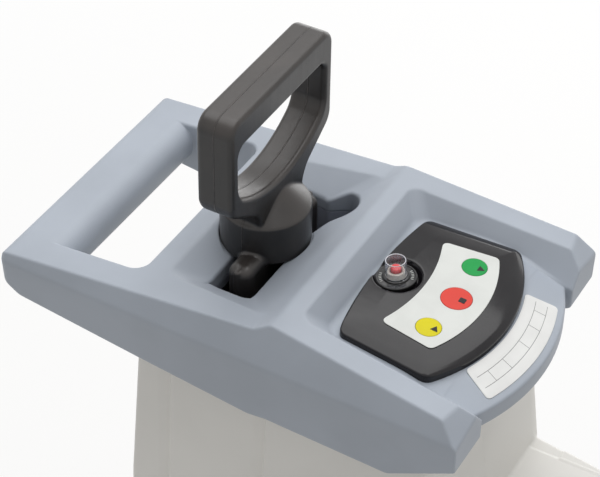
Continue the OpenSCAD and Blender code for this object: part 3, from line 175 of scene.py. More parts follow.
class Sheet:
    """The node sheet of one material."""

    def __init__(self, name: str) -> None:
        """Starts a material with an empty sheet.

        Args:
            name: Its name.
        """
        self.material = bpy.data.materials.new(name)
        self.material.use_nodes = True
        self.tree = self.material.node_tree
        self.tree.nodes.clear()
        self.place = self.node("ShaderNodeTexCoord", output="Object")

    def node(self, kind: str, settings: Optional[dict[str, Any]] = None,
             inputs: Optional[dict[Any, Any]] = None, output: Union[int, str] = 0) -> Signal:
        """Adds a node.

        Args:
            kind: Type of the node.
            settings: Settings, which are made first.
            inputs: Values or signals by socket name or number.
            output: Socket that the signal stands for.

        Returns:
            The signal of the chosen output.
        """
        made = self.tree.nodes.new(kind)
        for key, value in (settings or {}).items():
            setattr(made, key, value)
        for key, value in (inputs or {}).items():
            if isinstance(value, Signal):
                self.tree.links.new(value.socket, made.inputs[key])
            else:
                made.inputs[key].default_value = value
        return Signal(self, made.outputs[output])

    def noise(self, size: float, detail: float = 2.0, stretch: Point = (1.0, 1.0, 1.0)) -> Signal:
        """Noise whose features are about size metres wide.

        Args:
            size: Width of a feature in metres.
            detail: Octaves.
            stretch: Factor on each axis.

        Returns:
            The noise from 0 to 1.
        """
        place = self.node("ShaderNodeVectorMath", {"operation": "MULTIPLY"}, {0: self.place, 1: stretch})
        return self.node("ShaderNodeTexNoise", {}, {"Vector": place, "Scale": 1.0 / size, "Detail": detail})

    def mix(self, share: Any, first: Any, second: Any) -> Signal:
        """Mixes two colours.

        Args:
            share: Share of the second colour.
            first: First colour.
            second: Second colour.

        Returns:
            The mixed colour.
        """
        def full(c: Any) -> Any:
            """Adds alpha to a plain colour."""
            return c if isinstance(c, Signal) else (*c, 1.0)
        inputs = {0: share, 6: full(first), 7: full(second)}
        return self.node("ShaderNodeMix", {"data_type": "RGBA"}, inputs, 2)

    def part(self, whole: Signal, axis: Axis) -> Signal:
        """One coordinate of a point or direction."""
        return self.node("ShaderNodeSeparateXYZ", {}, {0: whole}, axis.value)

    def surface(self, what: str) -> Signal:
        """What the surface tells of itself, such as Normal or Pointiness."""
        return self.node("ShaderNodeNewGeometry", output=what)

    def bump(self, height: Signal, depth: float, under: Optional[Signal] = None) -> Signal:
        """Bumps the surface.

        Args:
            height: Height from 0 to 1.
            depth: Depth in metres at height 1.
            under: Normal of a coarser bump.

        Returns:
            The bumped normal.
        """
        inputs: dict[Any, Any] = {"Strength": 1.0, "Distance": depth, "Height": height}
        if under is not None:
            inputs["Normal"] = under
        return self.node("ShaderNodeBump", {}, inputs)

    def finish(self, **sockets: Any) -> bpy.types.Material:
        """Ends the sheet in one principled shader.

        Args:
            sockets: Values or signals by socket name, with _ for a space.

        Returns:
            The material.
        """
        shader = self.node("ShaderNodeBsdfPrincipled", {}, {
            key.replace("_", " "): (*value, 1.0) if isinstance(value, tuple) else value
            for key, value in sockets.items()})
        self.node_output(shader)
        return self.material

    def node_output(self, shader: Signal) -> None:
        """Links a shader to the surface."""
        out = self.tree.nodes.new("ShaderNodeOutputMaterial")
        self.tree.links.new(shader.socket, out.inputs["Surface"])


@dataclass(frozen=True)
class MouldedPlastic:
    """Grained moulding with faint clouding, edges painted paler (wear and painted highlight) and rub marks.
    """

    name: str
    colour: Colour
    rough: float = 0.5
    grain: float = 0.0007
    depth: float = 0.00004
    cloud: float = 0.05
    # Share of white on the edges: wear and painted highlight.
    edge: float = 0.12
    gloss: float = 0.35

    def make(self) -> bpy.types.Material:
        """Makes the material.

        Returns:
            The material.
        """
        sheet = Sheet(self.name)
        cloud = sheet.noise(0.09, 3.0)
        fleck = sheet.noise(self.grain, 2.0)
        rub = sheet.noise(0.012, 4.0, (1.0, 0.25, 1.0)).ramp(0.6, 0.8)
        # Edges found by pointiness are painted paler: partly wear, partly painted highlight.
        edge = sheet.surface("Pointiness").ramp(0.52, 0.6)
        dark, light = scaled(self.colour, 1.0 - self.cloud), scaled(self.colour, 1.0 + self.cloud)
        colour = sheet.mix(cloud.ramp(0.3, 0.7), dark, light)
        colour = sheet.mix(edge * 0.6, colour, paler(self.colour, self.edge))
        rough = self.rough + (cloud - 0.5) * 0.08 + rub * 0.05 + (fleck - 0.5) * 0.06
        return sheet.finish(Base_Color=colour, Roughness=rough, Normal=sheet.bump(fleck, self.depth),
                            Specular_IOR_Level=self.gloss)


@dataclass(frozen=True)
class BlowMoulding:
    """Black hand grip: soft shine, a parting seam along one plane, dust, painted light on upward faces and
    small scratches.
    """

    name: str
    colour: Colour
    dust: Colour
    seam: float
    rough: float = 0.36

    def make(self) -> bpy.types.Material:
        """Makes the material.

        Returns:
            The material.
        """
        sheet = Sheet(self.name)
        cloud = sheet.noise(0.035, 4.0)
        drag = sheet.noise(0.004, 3.0, (1.0, 1.0, 0.12))
        speck = sheet.noise(0.0016, 2.0).ramp(0.66, 0.78)
        broken = sheet.noise(0.006, 3.0).ramp(0.42, 0.62)
        line = 1.0 - abs(sheet.part(sheet.place, Axis.Y) - self.seam).ramp(0.0002, 0.0007)
        edge = sheet.surface("Pointiness").ramp(0.51, 0.6)
        up = sheet.part(sheet.surface("Normal"), Axis.Z)
        # Upward faces are painted lighter: partly settled dust, partly painted light from above that
        # brightens the cone and the grip's top.
        dust_and_top_light = up.ramp(0.05, 0.55) * (0.3 + cloud * 0.4)
        colour = sheet.mix(cloud.ramp(0.35, 0.75) * 0.45, self.colour, self.dust)
        colour = sheet.mix(dust_and_top_light, colour, scaled(self.dust, 1.5))
        colour = sheet.mix(edge * drag.ramp(0.35, 0.75) * 0.25, colour, self.dust)
        colour = sheet.mix(line * broken * 0.55, colour, scaled(self.dust, 2.4))
        colour = sheet.mix(speck * 0.22, colour, scaled(self.dust, 2.0))
        rough = self.rough + (cloud - 0.5) * 0.22 + (drag - 0.5) * 0.16 + speck * 0.2
        ridge = sheet.bump(line, 0.0006)
        grain = sheet.bump(sheet.noise(0.0011, 3.0), 0.00006, ridge)
        return sheet.finish(Base_Color=colour, Roughness=rough, Normal=grain, Specular_IOR_Level=0.5)


@dataclass(frozen=True)
class GlossPlastic:
    """Polished moulding with faint swirls and settled dust."""

    name: str
    colour: Colour
    rough: float = 0.1
    haze: float = 0.08
    coat: float = 0.5
    gloss: float = 0.5

    def make(self) -> bpy.types.Material:
        """Makes the material.

        Returns:
            The material.
        """
        sheet = Sheet(self.name)
        cloud = sheet.noise(0.05, 3.0)
        dust = sheet.noise(0.0012, 3.0).ramp(0.62, 0.8)
        swirl = sheet.noise(0.02, 5.0, (1.0, 0.2, 1.0))
        hazy = paler(self.colour, self.haze)
        colour = sheet.mix(cloud.ramp(0.4, 0.8) * 0.5 + dust * 0.15, self.colour, hazy)
        rough = self.rough + (swirl - 0.5) * 0.06 + dust * 0.12
        wave = sheet.bump(sheet.noise(0.018, 1.0), 0.00005)
        return sheet.finish(Base_Color=colour, Roughness=rough, Normal=wave, Coat_Weight=self.coat,
                            Coat_Roughness=0.06, Specular_IOR_Level=self.gloss)


@dataclass(frozen=True)
class SatinFilm:
    """Printed keypad film with a fine even tooth."""

    name: str
    colour: Colour
    rough: float = 0.4
    gloss: float = 0.22

    def make(self) -> bpy.types.Material:
        """Makes the material.

        Returns:
            The material.
        """
        sheet = Sheet(self.name)
        tooth = sheet.noise(0.00045, 2.0)
        cloud = sheet.noise(0.03, 3.0)
        colour = sheet.mix(cloud.ramp(0.3, 0.7), scaled(self.colour, 0.93), self.colour)
        rough = self.rough + (tooth - 0.5) * 0.12 + (cloud - 0.5) * 0.08
        return sheet.finish(Base_Color=colour, Roughness=rough, Normal=sheet.bump(tooth, 0.00002),
                            Specular_IOR_Level=self.gloss)


@dataclass(frozen=True)
class TurnedMetal:
    """Machined or plated metal with tool marks and slight tarnish."""

    name: str
    colour: Colour
    rough: float = 0.3
    marks: Point = (6.0, 1.0, 1.0)
    tarnish: float = 0.35

    def make(self) -> bpy.types.Material:
        """Makes the material.

        Returns:
            The material.
        """
        sheet = Sheet(self.name)
        marks = sheet.noise(0.0015, 3.0, self.marks)
        cloud = sheet.noise(0.02, 4.0)
        dull = scaled(self.colour, 1.0 - self.tarnish)
        colour = sheet.mix(cloud.ramp(0.45, 0.8), self.colour, dull)
        rough = self.rough + (marks - 0.5) * 0.2 + (cloud - 0.5) * 0.15
        return sheet.finish(Base_Color=colour, Roughness=rough, Metallic=1.0,
                            Normal=sheet.bump(marks, 0.00004))


@dataclass(frozen=True)
class TyreRubber:
    """Dull rubber with dust in its pores."""

    name: str
    colour: Colour
    dust: Colour

    def make(self) -> bpy.types.Material:
        """Makes the material.

        Returns:
            The material.
        """
        sheet = Sheet(self.name)
        pore = sheet.noise(0.0011, 3.0)
        cloud = sheet.noise(0.03, 4.0)
        colour = sheet.mix(cloud.ramp(0.4, 0.8) * pore.ramp(0.3, 0.7), self.colour, self.dust)
        rough = 0.72 + (pore - 0.5) * 0.2
        return sheet.finish(Base_Color=colour, Roughness=rough, Normal=sheet.bump(pore, 0.00012))


@dataclass(frozen=True)
class ClearMoulding:
    """Clear cap with a faint moulding haze."""

    name: str
    colour: Colour

    def make(self) -> bpy.types.Material:
        """Makes the material.

        Returns:
            The material.
        """
        sheet = Sheet(self.name)
        haze = sheet.noise(0.006, 3.0)
        rough = 0.05 + haze.ramp(0.4, 0.9) * 0.1
        return sheet.finish(Base_Color=self.colour, Roughness=rough, Transmission_Weight=0.92, IOR=1.4,
                            Normal=sheet.bump(haze, 0.00004))


# The edge value of each moulding sets how pale its edges are painted: wear and painted highlight.
COVER_GREY = MouldedPlastic("cover_grey", srgb(171, 178, 188), rough=0.46, edge=0.15)
TOWER_GREY = MouldedPlastic("tower_grey", srgb(238, 236, 231), rough=0.5, cloud=0.018, edge=0.1)
BASE_GREY = MouldedPlastic("base_grey", srgb(84, 87, 91), rough=0.52, edge=0.14)
BOX_GREY = MouldedPlastic("box_grey", srgb(160, 169, 181), rough=0.48, edge=0.15)
WHEEL_GREY = MouldedPlastic("wheel_grey", srgb(196, 194, 188), rough=0.5)
# A grey a little darker than the cover: painted shade on the slot's collar.
SHADED_THROAT_GREY = MouldedPlastic("shaded_throat_grey", srgb(158, 163, 176), rough=0.5)
CHUTE_BLACK = MouldedPlastic("chute_black", srgb(34, 34, 36), rough=0.5)
TRIM_BLACK = MouldedPlastic("trim_black", srgb(38, 38, 40), rough=0.42, grain=0.0005)
PANEL_BLACK = GlossPlastic("panel_black", srgb(24, 22, 25), rough=0.12, haze=0.015, coat=0.06, gloss=0.3)
NUT_BLACK = GlossPlastic("nut_black", srgb(24, 24, 25), rough=0.2, coat=0.1, gloss=0.4)
LATCH_RED = GlossPlastic("latch_red", srgb(186, 32, 30), rough=0.28, coat=0.2)
RESET_RED = GlossPlastic("reset_red", srgb(228, 52, 52), rough=0.3, coat=0.2)
BUSH_PALE = GlossPlastic("bush_pale", srgb(214, 204, 186), rough=0.35, coat=0.1)
FILM_WHITE = SatinFilm("film_white", srgb(222, 224, 220))
PLATE_WHITE = SatinFilm("plate_white", srgb(238, 238, 236), rough=0.3)
PRINT_GREY = SatinFilm("print_grey", srgb(120, 120, 120))
START_GREEN = SatinFilm("start_green", srgb(12, 156, 72))
STOP_RED = SatinFilm("stop_red", srgb(226, 70, 58))
REVERSE_YELLOW = SatinFilm("reverse_yellow", srgb(220, 208, 8))
SIGN_BLACK = SatinFilm("sign_black", srgb(36, 34, 34))
BOARD_GREEN = SatinFilm("board_green", srgb(30, 90, 54))
BRIM_WHITE = SatinFilm("brim_white", srgb(236, 236, 242), rough=0.25)
CAP_CLEAR = ClearMoulding("cap_clear", srgb(240, 243, 250))
ZINC = TurnedMetal("zinc", srgb(206, 208, 210), rough=0.34)
STEEL = TurnedMetal("steel", srgb(176, 178, 181), rough=0.28)
CAST = TurnedMetal("cast_aluminium", srgb(196, 198, 201), rough=0.5, marks=(1.0, 1.0, 1.0))
COPPER = TurnedMetal("copper_wire", srgb(190, 108, 62), rough=0.32, marks=(1.0, 8.0, 8.0))
MOTOR_PAINT = GlossPlastic("motor_paint", srgb(40, 41, 44), rough=0.4, coat=0.1)
RUBBER = TyreRubber("tyre_rubber", srgb(30, 30, 31), srgb(74, 72, 68))

Finish = Union[MouldedPlastic, BlowMoulding, GlossPlastic, SatinFilm, TurnedMetal, TyreRubber,
               ClearMoulding]
Seat = tuple[Body, Finish, str]


class Workshop:
    """Makes each finish once and puts pieces on their bodies."""

    def __init__(self) -> None:
        """Starts with no finishes made."""
        self.made: dict[str, bpy.types.Material] = {}

    def material(self, finish: Finish) -> bpy.types.Material:
        """Makes the material of a finish on first use.

        Args:
            finish: The finish.

        Returns:
            The material.
        """
        if finish.name not in self.made:
            self.made[finish.name] = finish.make()
        return self.made[finish.name]

    def dress(self, piece: bpy.types.Object, finish: Finish) -> None:
        """Gives every slot of a piece one finish."""
        piece.data.materials.clear()
        piece.data.materials.append(self.material(finish))

    def seat(self, piece: bpy.types.Object, body: Body, finish: Finish, slot: str,
             stands_for: Sequence[str] = ()) -> bpy.types.Object:
        """Dresses a piece and lets it ride on its body.

        Args:
            piece: The piece.
            body: Body that it rides on.
            finish: Its finish.
            slot: Material slot of the record; not used.
            stands_for: Nodes that it replaces.

        Returns:
            The piece.
        """
        self.dress(piece, finish)
        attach(piece, body.value)
        if stands_for:
            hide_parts(*stands_for)
        log.info("%s rides on %s", piece.name, body.value)
        return piece


def soften(piece: bpy.types.Object, width: float = 0.0, angle: float = 30.0) -> bpy.types.Object:
    """Rounds the edges of a piece and evens out its shading.

    Args:
        piece: The piece.
        width: Width of the edge rounding in metres; 0 leaves the edges.
        angle: Edges sharper than this many degrees are rounded.

    Returns:
        The piece.
    """
    for face in piece.data.polygons:
        face.use_smooth = True
    if width > 0:
        edge = piece.modifiers.new("edge", "BEVEL")
        edge.width = width
        edge.segments = 2
        edge.limit_method = "ANGLE"
        edge.angle_limit = math.radians(angle)
        edge.use_clamp_overlap = True
    even = piece.modifiers.new("even", "WEIGHTED_NORMAL")
    even.mode = "FACE_AREA"
    even.weight = 60
    even.keep_sharp = True
    return piece


@dataclass
class Block:
    """A block of space, in millimetres, that a moulding is carved in."""

    low: Point
    high: Point
    step: float
    x: np.ndarray = field(init=False)
    y: np.ndarray = field(init=False)
    z: np.ndarray = field(init=False)

    def __post_init__(self) -> None:
        """Lays out the three coordinates."""
        lines = [np.arange(a, b + self.step, self.step, dtype=np.float32)
                 for a, b in zip(self.low, self.high)]
        self.x = lines[0][:, None, None]
        self.y = lines[1][None, :, None]
        self.z = lines[2][None, None, :]

    def form(self, depth: np.ndarray) -> "Form":
        """Wraps a signed distance as a form."""
        return Form(self, depth)

    def box(self, low: Point, high: Point, r: float = 0.0) -> "Form":
        """Box with rounded edges.

        Args:
            low: Lowest corner.
            high: Highest corner.
            r: Radius of the edges.

        Returns:
            The form.
        """
        parts = []
        for line, a, b in zip((self.x, self.y, self.z), low, high):
            parts.append(np.abs(line - (a + b) / 2) - ((b - a) / 2 - r))
        outside = np.sqrt(sum(np.maximum(p, 0) ** 2 for p in parts))
        inside = np.minimum(np.maximum(np.maximum(parts[0], parts[1]), parts[2]), 0)
        return self.form(outside + inside - r)

    def out(self, at: Corner = (0.0, 0.0)) -> np.ndarray:
        """Distance from an upright axis."""
        return np.sqrt((self.x - at[0]) ** 2 + (self.y - at[1]) ** 2)

    def rod(self, at: Corner, radius: float, a: float, b: float) -> "Form":
        """Upright rod.

        Args:
            at: Place of its axis.
            radius: Radius.
            a: Lower end.
            b: Upper end.

        Returns:
            The form.
        """
        ends = np.abs(self.z - (a + b) / 2) - (b - a) / 2
        return self.form(self.out(at) - radius) & self.form(ends)

    def prism(self, corners: Sequence[Corner]) -> "Form":
        """Endless upright prism over an outline."""
        return self.form(outline_depth(self.x, self.y, corners))


def rounded_max(a: np.ndarray, b: np.ndarray, r: float) -> np.ndarray:
    """Meets two signed distances in an edge of radius r."""
    edge = np.sqrt(np.maximum(a + r, 0) ** 2 + np.maximum(b + r, 0) ** 2)
    return np.minimum(np.maximum(a, b), -r) + edge


def outline_depth(u: np.ndarray, v: np.ndarray, corners: Sequence[Corner]) -> np.ndarray:
    """Signed distance to a closed outline, negative inside.

    Args:
        u: First coordinate.
        v: Second coordinate.
        corners: Corners in order.

    Returns:
        The distance.
    """
    nearest = None
    inside = None
    for (au, av), (bu, bv) in zip(corners, list(corners[1:]) + [corners[0]]):
        eu, ev = bu - au, bv - av
        pu, pv = u - au, v - av
        t = np.clip((pu * eu + pv * ev) / (eu * eu + ev * ev), 0, 1)
        gap = (pu - eu * t) ** 2 + (pv - ev * t) ** 2
        nearest = gap if nearest is None else np.minimum(nearest, gap)
        crosses = ((av > v) != (bv > v)) & (pu < eu * pv / (ev if ev else 1e-9))
        inside = crosses if inside is None else inside ^ crosses
    return np.where(inside, -1.0, 1.0).astype(np.float32) * np.sqrt(nearest)


TINY = 1e-9
BAND_STEPS = 3.0
SETTLE_REACH = 0.5
SHADE_REACH = 0.6
SHADE_PULL = 0.25
SHADE_STEPS = 1.2


class Form:
    """A solid as a signed distance, with plain and rounded joins."""

    def __init__(self, block: Block, depth: np.ndarray) -> None:
        """Keeps the block and the distance."""
        self.block = block
        self.depth = depth

    def __or__(self, other: "Form") -> "Form":
        """Both solids."""
        return Form(self.block, np.minimum(self.depth, other.depth))

    def __and__(self, other: "Form") -> "Form":
        """What both solids share."""
        return Form(self.block, np.maximum(self.depth, other.depth))

    def __sub__(self, other: "Form") -> "Form":
        """This solid without the other."""
        return Form(self.block, np.maximum(self.depth, -other.depth))

    def meet(self, other: "Form", r: float) -> "Form":
        """Shared solid whose new edges have radius r."""
        return Form(self.block, rounded_max(self.depth, other.depth, r))

    def carve(self, other: "Form", r: float) -> "Form":
        """This solid without the other, with rims of radius r."""
        return Form(self.block, rounded_max(self.depth, -other.depth, r))

    def blend(self, other: "Form", r: float) -> "Form":
        """Both solids with a fillet of radius r between them."""
        return Form(self.block, -rounded_max(-self.depth, -other.depth, r))

    def grow(self, by: float) -> "Form":
        """The solid made larger all round."""
        return Form(self.block, self.depth - by)

    def sample(self, at: np.ndarray) -> np.ndarray:
        """Distance at points that are given in steps from the block's first corner.

        Args:
            at: Points, one in each row.

        Returns:
            The distances.
        """
        low = np.clip(np.floor(at).astype(np.int64), 0, np.array(self.depth.shape) - 2)
        part = np.clip(at - low, 0.0, 1.0)
        total = np.zeros(len(at))
        for corner in np.ndindex(2, 2, 2):
            weight = np.prod(np.where(corner, part, 1.0 - part), axis=1)
            total += weight * self.depth[tuple((low + corner).T)]
        return total

    def slope(self, at: np.ndarray, reach: float) -> np.ndarray:
        """Outward direction at points that are given in steps.

        Args:
            at: Points, one in each row.
            reach: Half the length of a difference, in steps.

        Returns:
            The directions, of length 1.
        """
        parts = [self.sample(at + reach * way) - self.sample(at - reach * way) for way in np.eye(3)]
        slope = np.stack(parts, axis=1)
        return slope / np.maximum(np.linalg.norm(slope, axis=1, keepdims=True), TINY)

    def piece(self, name: str, datum: "Datum", keep: float = 0.16,
              shade: Optional["Form"] = None) -> bpy.types.Object:
        """Turns the solid into a mesh with the shading of the exact form.

        Args:
            name: Name of the piece.
            datum: Local frame of the solid.
            keep: Share of the faces that stays after flat stretches are thinned out.
            shade: Form that the shading follows, if not this one.

        Returns:
            The piece.
        """
        block = self.block
        shape = np.broadcast_shapes(block.x.shape, block.y.shape, block.z.shape)
        full = Form(block, np.ascontiguousarray(np.broadcast_to(self.depth, shape), np.float32))
        light = full if shade is None else Form(block, np.broadcast_to(shade.depth, shape))
        limit = BAND_STEPS * block.step
        grid = openvdb.FloatGrid(limit)
        grid.copyFromArray(np.clip(full.depth, -limit, limit))
        points, quads = grid.convertToQuads(0.0)
        off = full.sample(points)[:, None] / block.step
        points = points - full.slope(points, SETTLE_REACH) * off
        mesh = thinned(name, points, quads, keep)
        points = np.empty(len(mesh.vertices) * 3, np.float32)
        mesh.vertices.foreach_get("co", points)
        points = points.reshape(-1, 3).astype(np.float64)
        corners = np.empty(len(mesh.loops), np.int32)
        mesh.loops.foreach_get("vertex_index", corners)
        corners = corners.reshape(-1, 3)
        inward = points[corners].mean(axis=1, keepdims=True) - points[corners]
        far = np.linalg.norm(inward, axis=2, keepdims=True)
        spots = points[corners] + inward * np.minimum(SHADE_PULL, SHADE_STEPS / np.maximum(far, TINY))
        normals = light.slope(spots.reshape(-1, 3), SHADE_REACH)
        first = np.array([block.x.flat[0], block.y.flat[0], block.z.flat[0]])
        placed = datum.place(points * block.step + first)
        mesh.vertices.foreach_set("co", placed.astype(np.float32).ravel())
        mesh.polygons.foreach_set("use_smooth", np.ones(len(mesh.polygons), bool))
        mesh.normals_split_custom_set(datum.turn(normals).tolist())
        mesh.update()
        return put(name, mesh)


def thinned(name: str, points: np.ndarray, faces: np.ndarray, keep: float) -> bpy.types.Mesh:
    """Makes a mesh and merges faces where it is flat.

    Args:
        name: Name of the mesh.
        points: Points.
        faces: Faces by point number.
        keep: Share of the faces that stays.

    Returns:
        The thinned mesh.
    """
    mesh = bpy.data.meshes.new(name)
    mesh.from_pydata(points.tolist(), [], faces.tolist())
    work = put(name, mesh)
    trim = work.modifiers.new("trim", "DECIMATE")
    trim.ratio = keep
    trim.use_collapse_triangulate = True
    state = bpy.context.evaluated_depsgraph_get()
    result = bpy.data.meshes.new_from_object(work.evaluated_get(state))
    bpy.data.objects.remove(work)
    bpy.data.meshes.remove(mesh)
    result.name = name
    return result


@dataclass(frozen=True)
class Datum:
    """A local frame, in millimetres: an origin in the row and a tilt about X."""

    origin: Point
    tilt: float = 0.0

    def turn(self, ways: np.ndarray) -> np.ndarray:
        """Turns local directions into row directions.

        Args:
            ways: Directions, one in each row.

        Returns:
            The directions.
        """
        c, s = math.cos(math.radians(self.tilt)), math.sin(math.radians(self.tilt))
        x, y, z = ways[:, 0], ways[:, 1], ways[:, 2]
        return np.stack([x, y * c - z * s, y * s + z * c], axis=1)

    def place(self, points: np.ndarray) -> np.ndarray:
        """Turns local points in millimetres into row points in metres."""
        return (self.turn(points) + np.array(self.origin)) * MM

    def moved(self, u: float, v: float, w: float = 0.0, lean: float = 0.0) -> "Datum":
        """Frame at a local point.

        Args:
            u: Local X of the point.
            v: Local Y of the point.
            w: Local Z of the point.
            lean: Degrees that are taken from the tilt.

        Returns:
            The moved frame.
        """
        return Datum(tuple(self.place(np.array([[u, v, w]]))[0] / MM), self.tilt - lean)

    def matrix(self) -> Matrix:
        """The frame as a matrix in metres."""
        tilt = Matrix.Rotation(math.radians(self.tilt), 4, "X")
        return Matrix.Translation(Vector(self.origin) * MM) @ tilt


ROW = Datum((0.0, 0.0, 0.0))


def corner_mm(node: str) -> tuple[Vector, Vector]:
    """Lowest and highest corner of a node in millimetres."""
    low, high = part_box(node)
    return low / MM, high / MM


def eased(points: Sequence[Corner], spread: float) -> tuple[np.ndarray, np.ndarray]:
    """Smooths a line of straight stretches.

    Args:
        points: Points in order of their first coordinate.
        spread: Width of the smoothing in millimetres.

    Returns:
        Places and heights on the smoothed line.
    """
    step, margin = 0.25, 40.0
    places = np.arange(points[0][0] - margin, points[-1][0] + margin, step)
    first, last = points[0], points[-1]
    slope_a = (points[1][1] - first[1]) / (points[1][0] - first[0])
    slope_b = (last[1] - points[-2][1]) / (last[0] - points[-2][0])
    xs = [places[0]] + [p[0] for p in points] + [places[-1]]
    zs = [first[1] + slope_a * (places[0] - first[0])] + [p[1] for p in points]
    zs.append(last[1] + slope_b * (places[-1] - last[0]))
    heights = np.interp(places, xs, zs)
    reach = int(3 * spread / step)
    weights = np.exp(-0.5 * (np.arange(-reach, reach + 1) * step / spread) ** 2)
    padded = np.concatenate([heights[0] + slope_a * step * np.arange(-reach, 0), heights,
                             heights[-1] + slope_b * step * np.arange(1, reach + 1)])
    return places, np.convolve(padded, weights / weights.sum(), "valid")


@dataclass
class TopCover:
    """Blue-grey cover with arms, hand window, hopper, recess and lip."""

    datum: Datum
    panel: Datum
    rear: float = 238.0
    front: float = 182.0
    bevel_at: Point = (127.0, -165.2, -9.2)
    bevel_way: Point = (0.125, -0.734, 0.667)
    crease: float = 26.6
    crease_half: Corner = (126.6, 131.9)
    crease_round: float = 1.2
    upper_lean: float = 23.6
    lower_lean: float = 3.8
    top_ease: float = 2.2
    low_ease: float = 2.0
    low_round: float = 2.0
    rear_round: float = 7.0
    rear_roll: float = 8.0
    edge: float = 1.4
    bar_front: float = 188.0
    bar_low: float = -57.0
    bar_round: float = 19.0
    bar_overlap: float = 3.0
    window: Corner = (94.5, 118.0)
    window_round: float = 13.0
    window_rim: float = 2.6
    slot: Corner = (71.5, 19.0)
    slot_y: float = 50.0
    slot_rim: float = 2.2
    rim: float = -20.0
    dish_grades: Point = (0.70, 0.42, 0.638)
    dish_round: float = 5.0
    dish_rim: float = 0.8
    seat: Point = (58.0, 38.6, -17.0)
    seat_rim: float = 1.2
    recess_half: float = 80.0
    recess_lean: float = 0.84
    recess_flare: float = 0.12
    recess_round: float = 9.0
    recess_foot: float = 2.5
    recess_rim: float = 0.9
    lip_r: float = 178.0
    lip_y: float = -18.5
    lip_top: float = -34.7
    lip_face: float = 16.0
    lip_round: float = 2.0
    apron: float = 0.4
    apron_round: float = 5.0
    collar_wall: Corner = (0.5, 3.2)
    collar_z: Corner = (-62.0, 29.5)
    step: float = 1.05

    def top_line(self) -> list[Corner]:
        """Side view of the top, front to rear."""
        return [(-self.front, -11.2), (-12.4, 7.7), (0.0, 0.0), (self.rear, -19.3)]

    def low_line(self) -> list[Corner]:
        """Side view of the lower edge, front to rear."""
        return [(-self.front, -54.0), (-124.0, -87.6), (-14.0, -84.9), (2.0, -87.2), (104.0, -75.6),
                (222.0, -60.8), (self.rear, -49.0)]

    def above_line(self, block: Block, points: Sequence[Corner], ease: float) -> np.ndarray:
        """Height above a smoothed line of the side view, square to it.

        Args:
            block: Block that is carved.
            points: The line, front to rear.
            ease: Width of the smoothing.

        Returns:
            The height.
        """
        places, heights = eased(points, ease)
        slope = np.interp(block.y, places, np.gradient(heights, places))
        return (block.z - np.interp(block.y, places, heights)) / np.sqrt(1 + slope ** 2)

    def shell(self, block: Block) -> Form:
        """Outer shell, still without openings.

        Args:
            block: Block that is carved.

        Returns:
            The form.
        """
        y, z, across = block.y, block.z, np.abs(block.x)
        upper = block.form(self.above_line(block, self.top_line(), self.top_ease))
        lower = block.form(-self.above_line(block, self.low_line(), self.low_ease))
        share = (self.rear - y) / (self.rear + self.front)
        half = self.crease_half[0] + (self.crease_half[1] - self.crease_half[0]) * share
        lean, under = math.radians(self.upper_lean), math.radians(self.lower_lean)
        flank = block.form((across - half + (z + self.crease) * math.tan(lean)) * math.cos(lean))
        skirt = block.form((across - half - (z + self.crease) * math.tan(under)) * math.cos(under))
        back = block.form(y - self.rear)
        sides = flank.meet(skirt, self.crease_round).meet(back, self.rear_round)
        sides = sides.meet(block.form(-y - self.front), self.edge)
        reach = [line - place for line, place in zip((across, y, z), self.bevel_at)]
        bevel = block.form(sum(line * way for line, way in zip(reach, self.bevel_way)))
        body = sides.meet(upper, self.edge).meet(bevel, self.edge).meet(lower, self.low_round)
        return body & upper.meet(back, self.rear_roll)

    def handle(self, block: Block, shell: Form) -> Form:
        """Carrying bar across the rear.

        Args:
            block: Block that is carved.
            shell: Outer shell.

        Returns:
            The form.
        """
        top = block.form(block.z - np.interp(block.y, *eased(self.top_line(), self.top_ease)))
        face = block.form(self.bar_front - block.y)
        under = block.form(self.bar_low - block.z)
        bar = face.meet(top, self.bar_round).meet(under, self.bar_round)
        return bar & shell & block.form(np.abs(block.x) - self.window[0] - self.bar_overlap)

    def dish(self, block: Block) -> Form:
        """Space of the hopper above its sloping floor.

        Args:
            block: Block that is carved.

        Returns:
            The form.
        """
        rise = block.z - self.rim
        runs = (np.abs(block.x) - self.slot[0], block.y - self.slot_y - self.slot[1],
                self.slot_y - self.slot[1] - block.y)
        near, back, front = (block.form((run * grade - rise) / math.sqrt(1 + grade * grade))
                             for run, grade in zip(runs, self.dish_grades))
        return near.meet(back, self.dish_round).meet(front, self.dish_round)

    def slot_outline(self) -> list[Corner]:
        """Outline of the feed slot with its finger at one end.

        Returns:
            The outline.
        """
        half, low, high = self.slot[0], self.slot_y - self.slot[1], self.slot_y + self.slot[1]
        near = [(-half, high - 2.0), (-half, low + 7.0), (-half + 2.0, low + 2.0), (-half + 7.0, low)]
        finger = [(0.0, low), (17.0, low + 0.5), (25.0, 27.5), (33.0, 24.0), (38.5, 20.5), (42.0, 15.5),
                  (44.5, 10.5), (48.0, 6.5), (53.0, 4.0), (59.0, 4.0), (66.0, 6.5), (72.0, 10.0),
                  (77.0, 14.5), (79.5, 19.5), (78.5, 24.5), (74.5, 30.5), (71.0, 35.5), (70.0, 39.5)]
        far = [(half - 0.5, 45.0), (half, 60.0), (half, high - 3.0), (half - 3.0, high), (0.0, high),
               (-half + 2.0, high)]
        return smooth_loop(near + finger + far)

    def on_floor(self, block: Block) -> tuple[np.ndarray, np.ndarray]:
        """Distance along the panel's floor and height above it.

        Args:
            block: Block that is carved.

        Returns:
            Both distances.
        """
        angle = math.radians(self.panel.tilt)
        dy = block.y - (self.panel.origin[1] - self.datum.origin[1])
        dz = block.z - (self.panel.origin[2] - self.datum.origin[2])
        return dy * math.cos(angle) + dz * math.sin(angle), dz * math.cos(angle) - dy * math.sin(angle)

    def from_lip(self, block: Block) -> np.ndarray:
        """Distance from the middle of the round lip."""
        return block.out((0.0, self.lip_y))

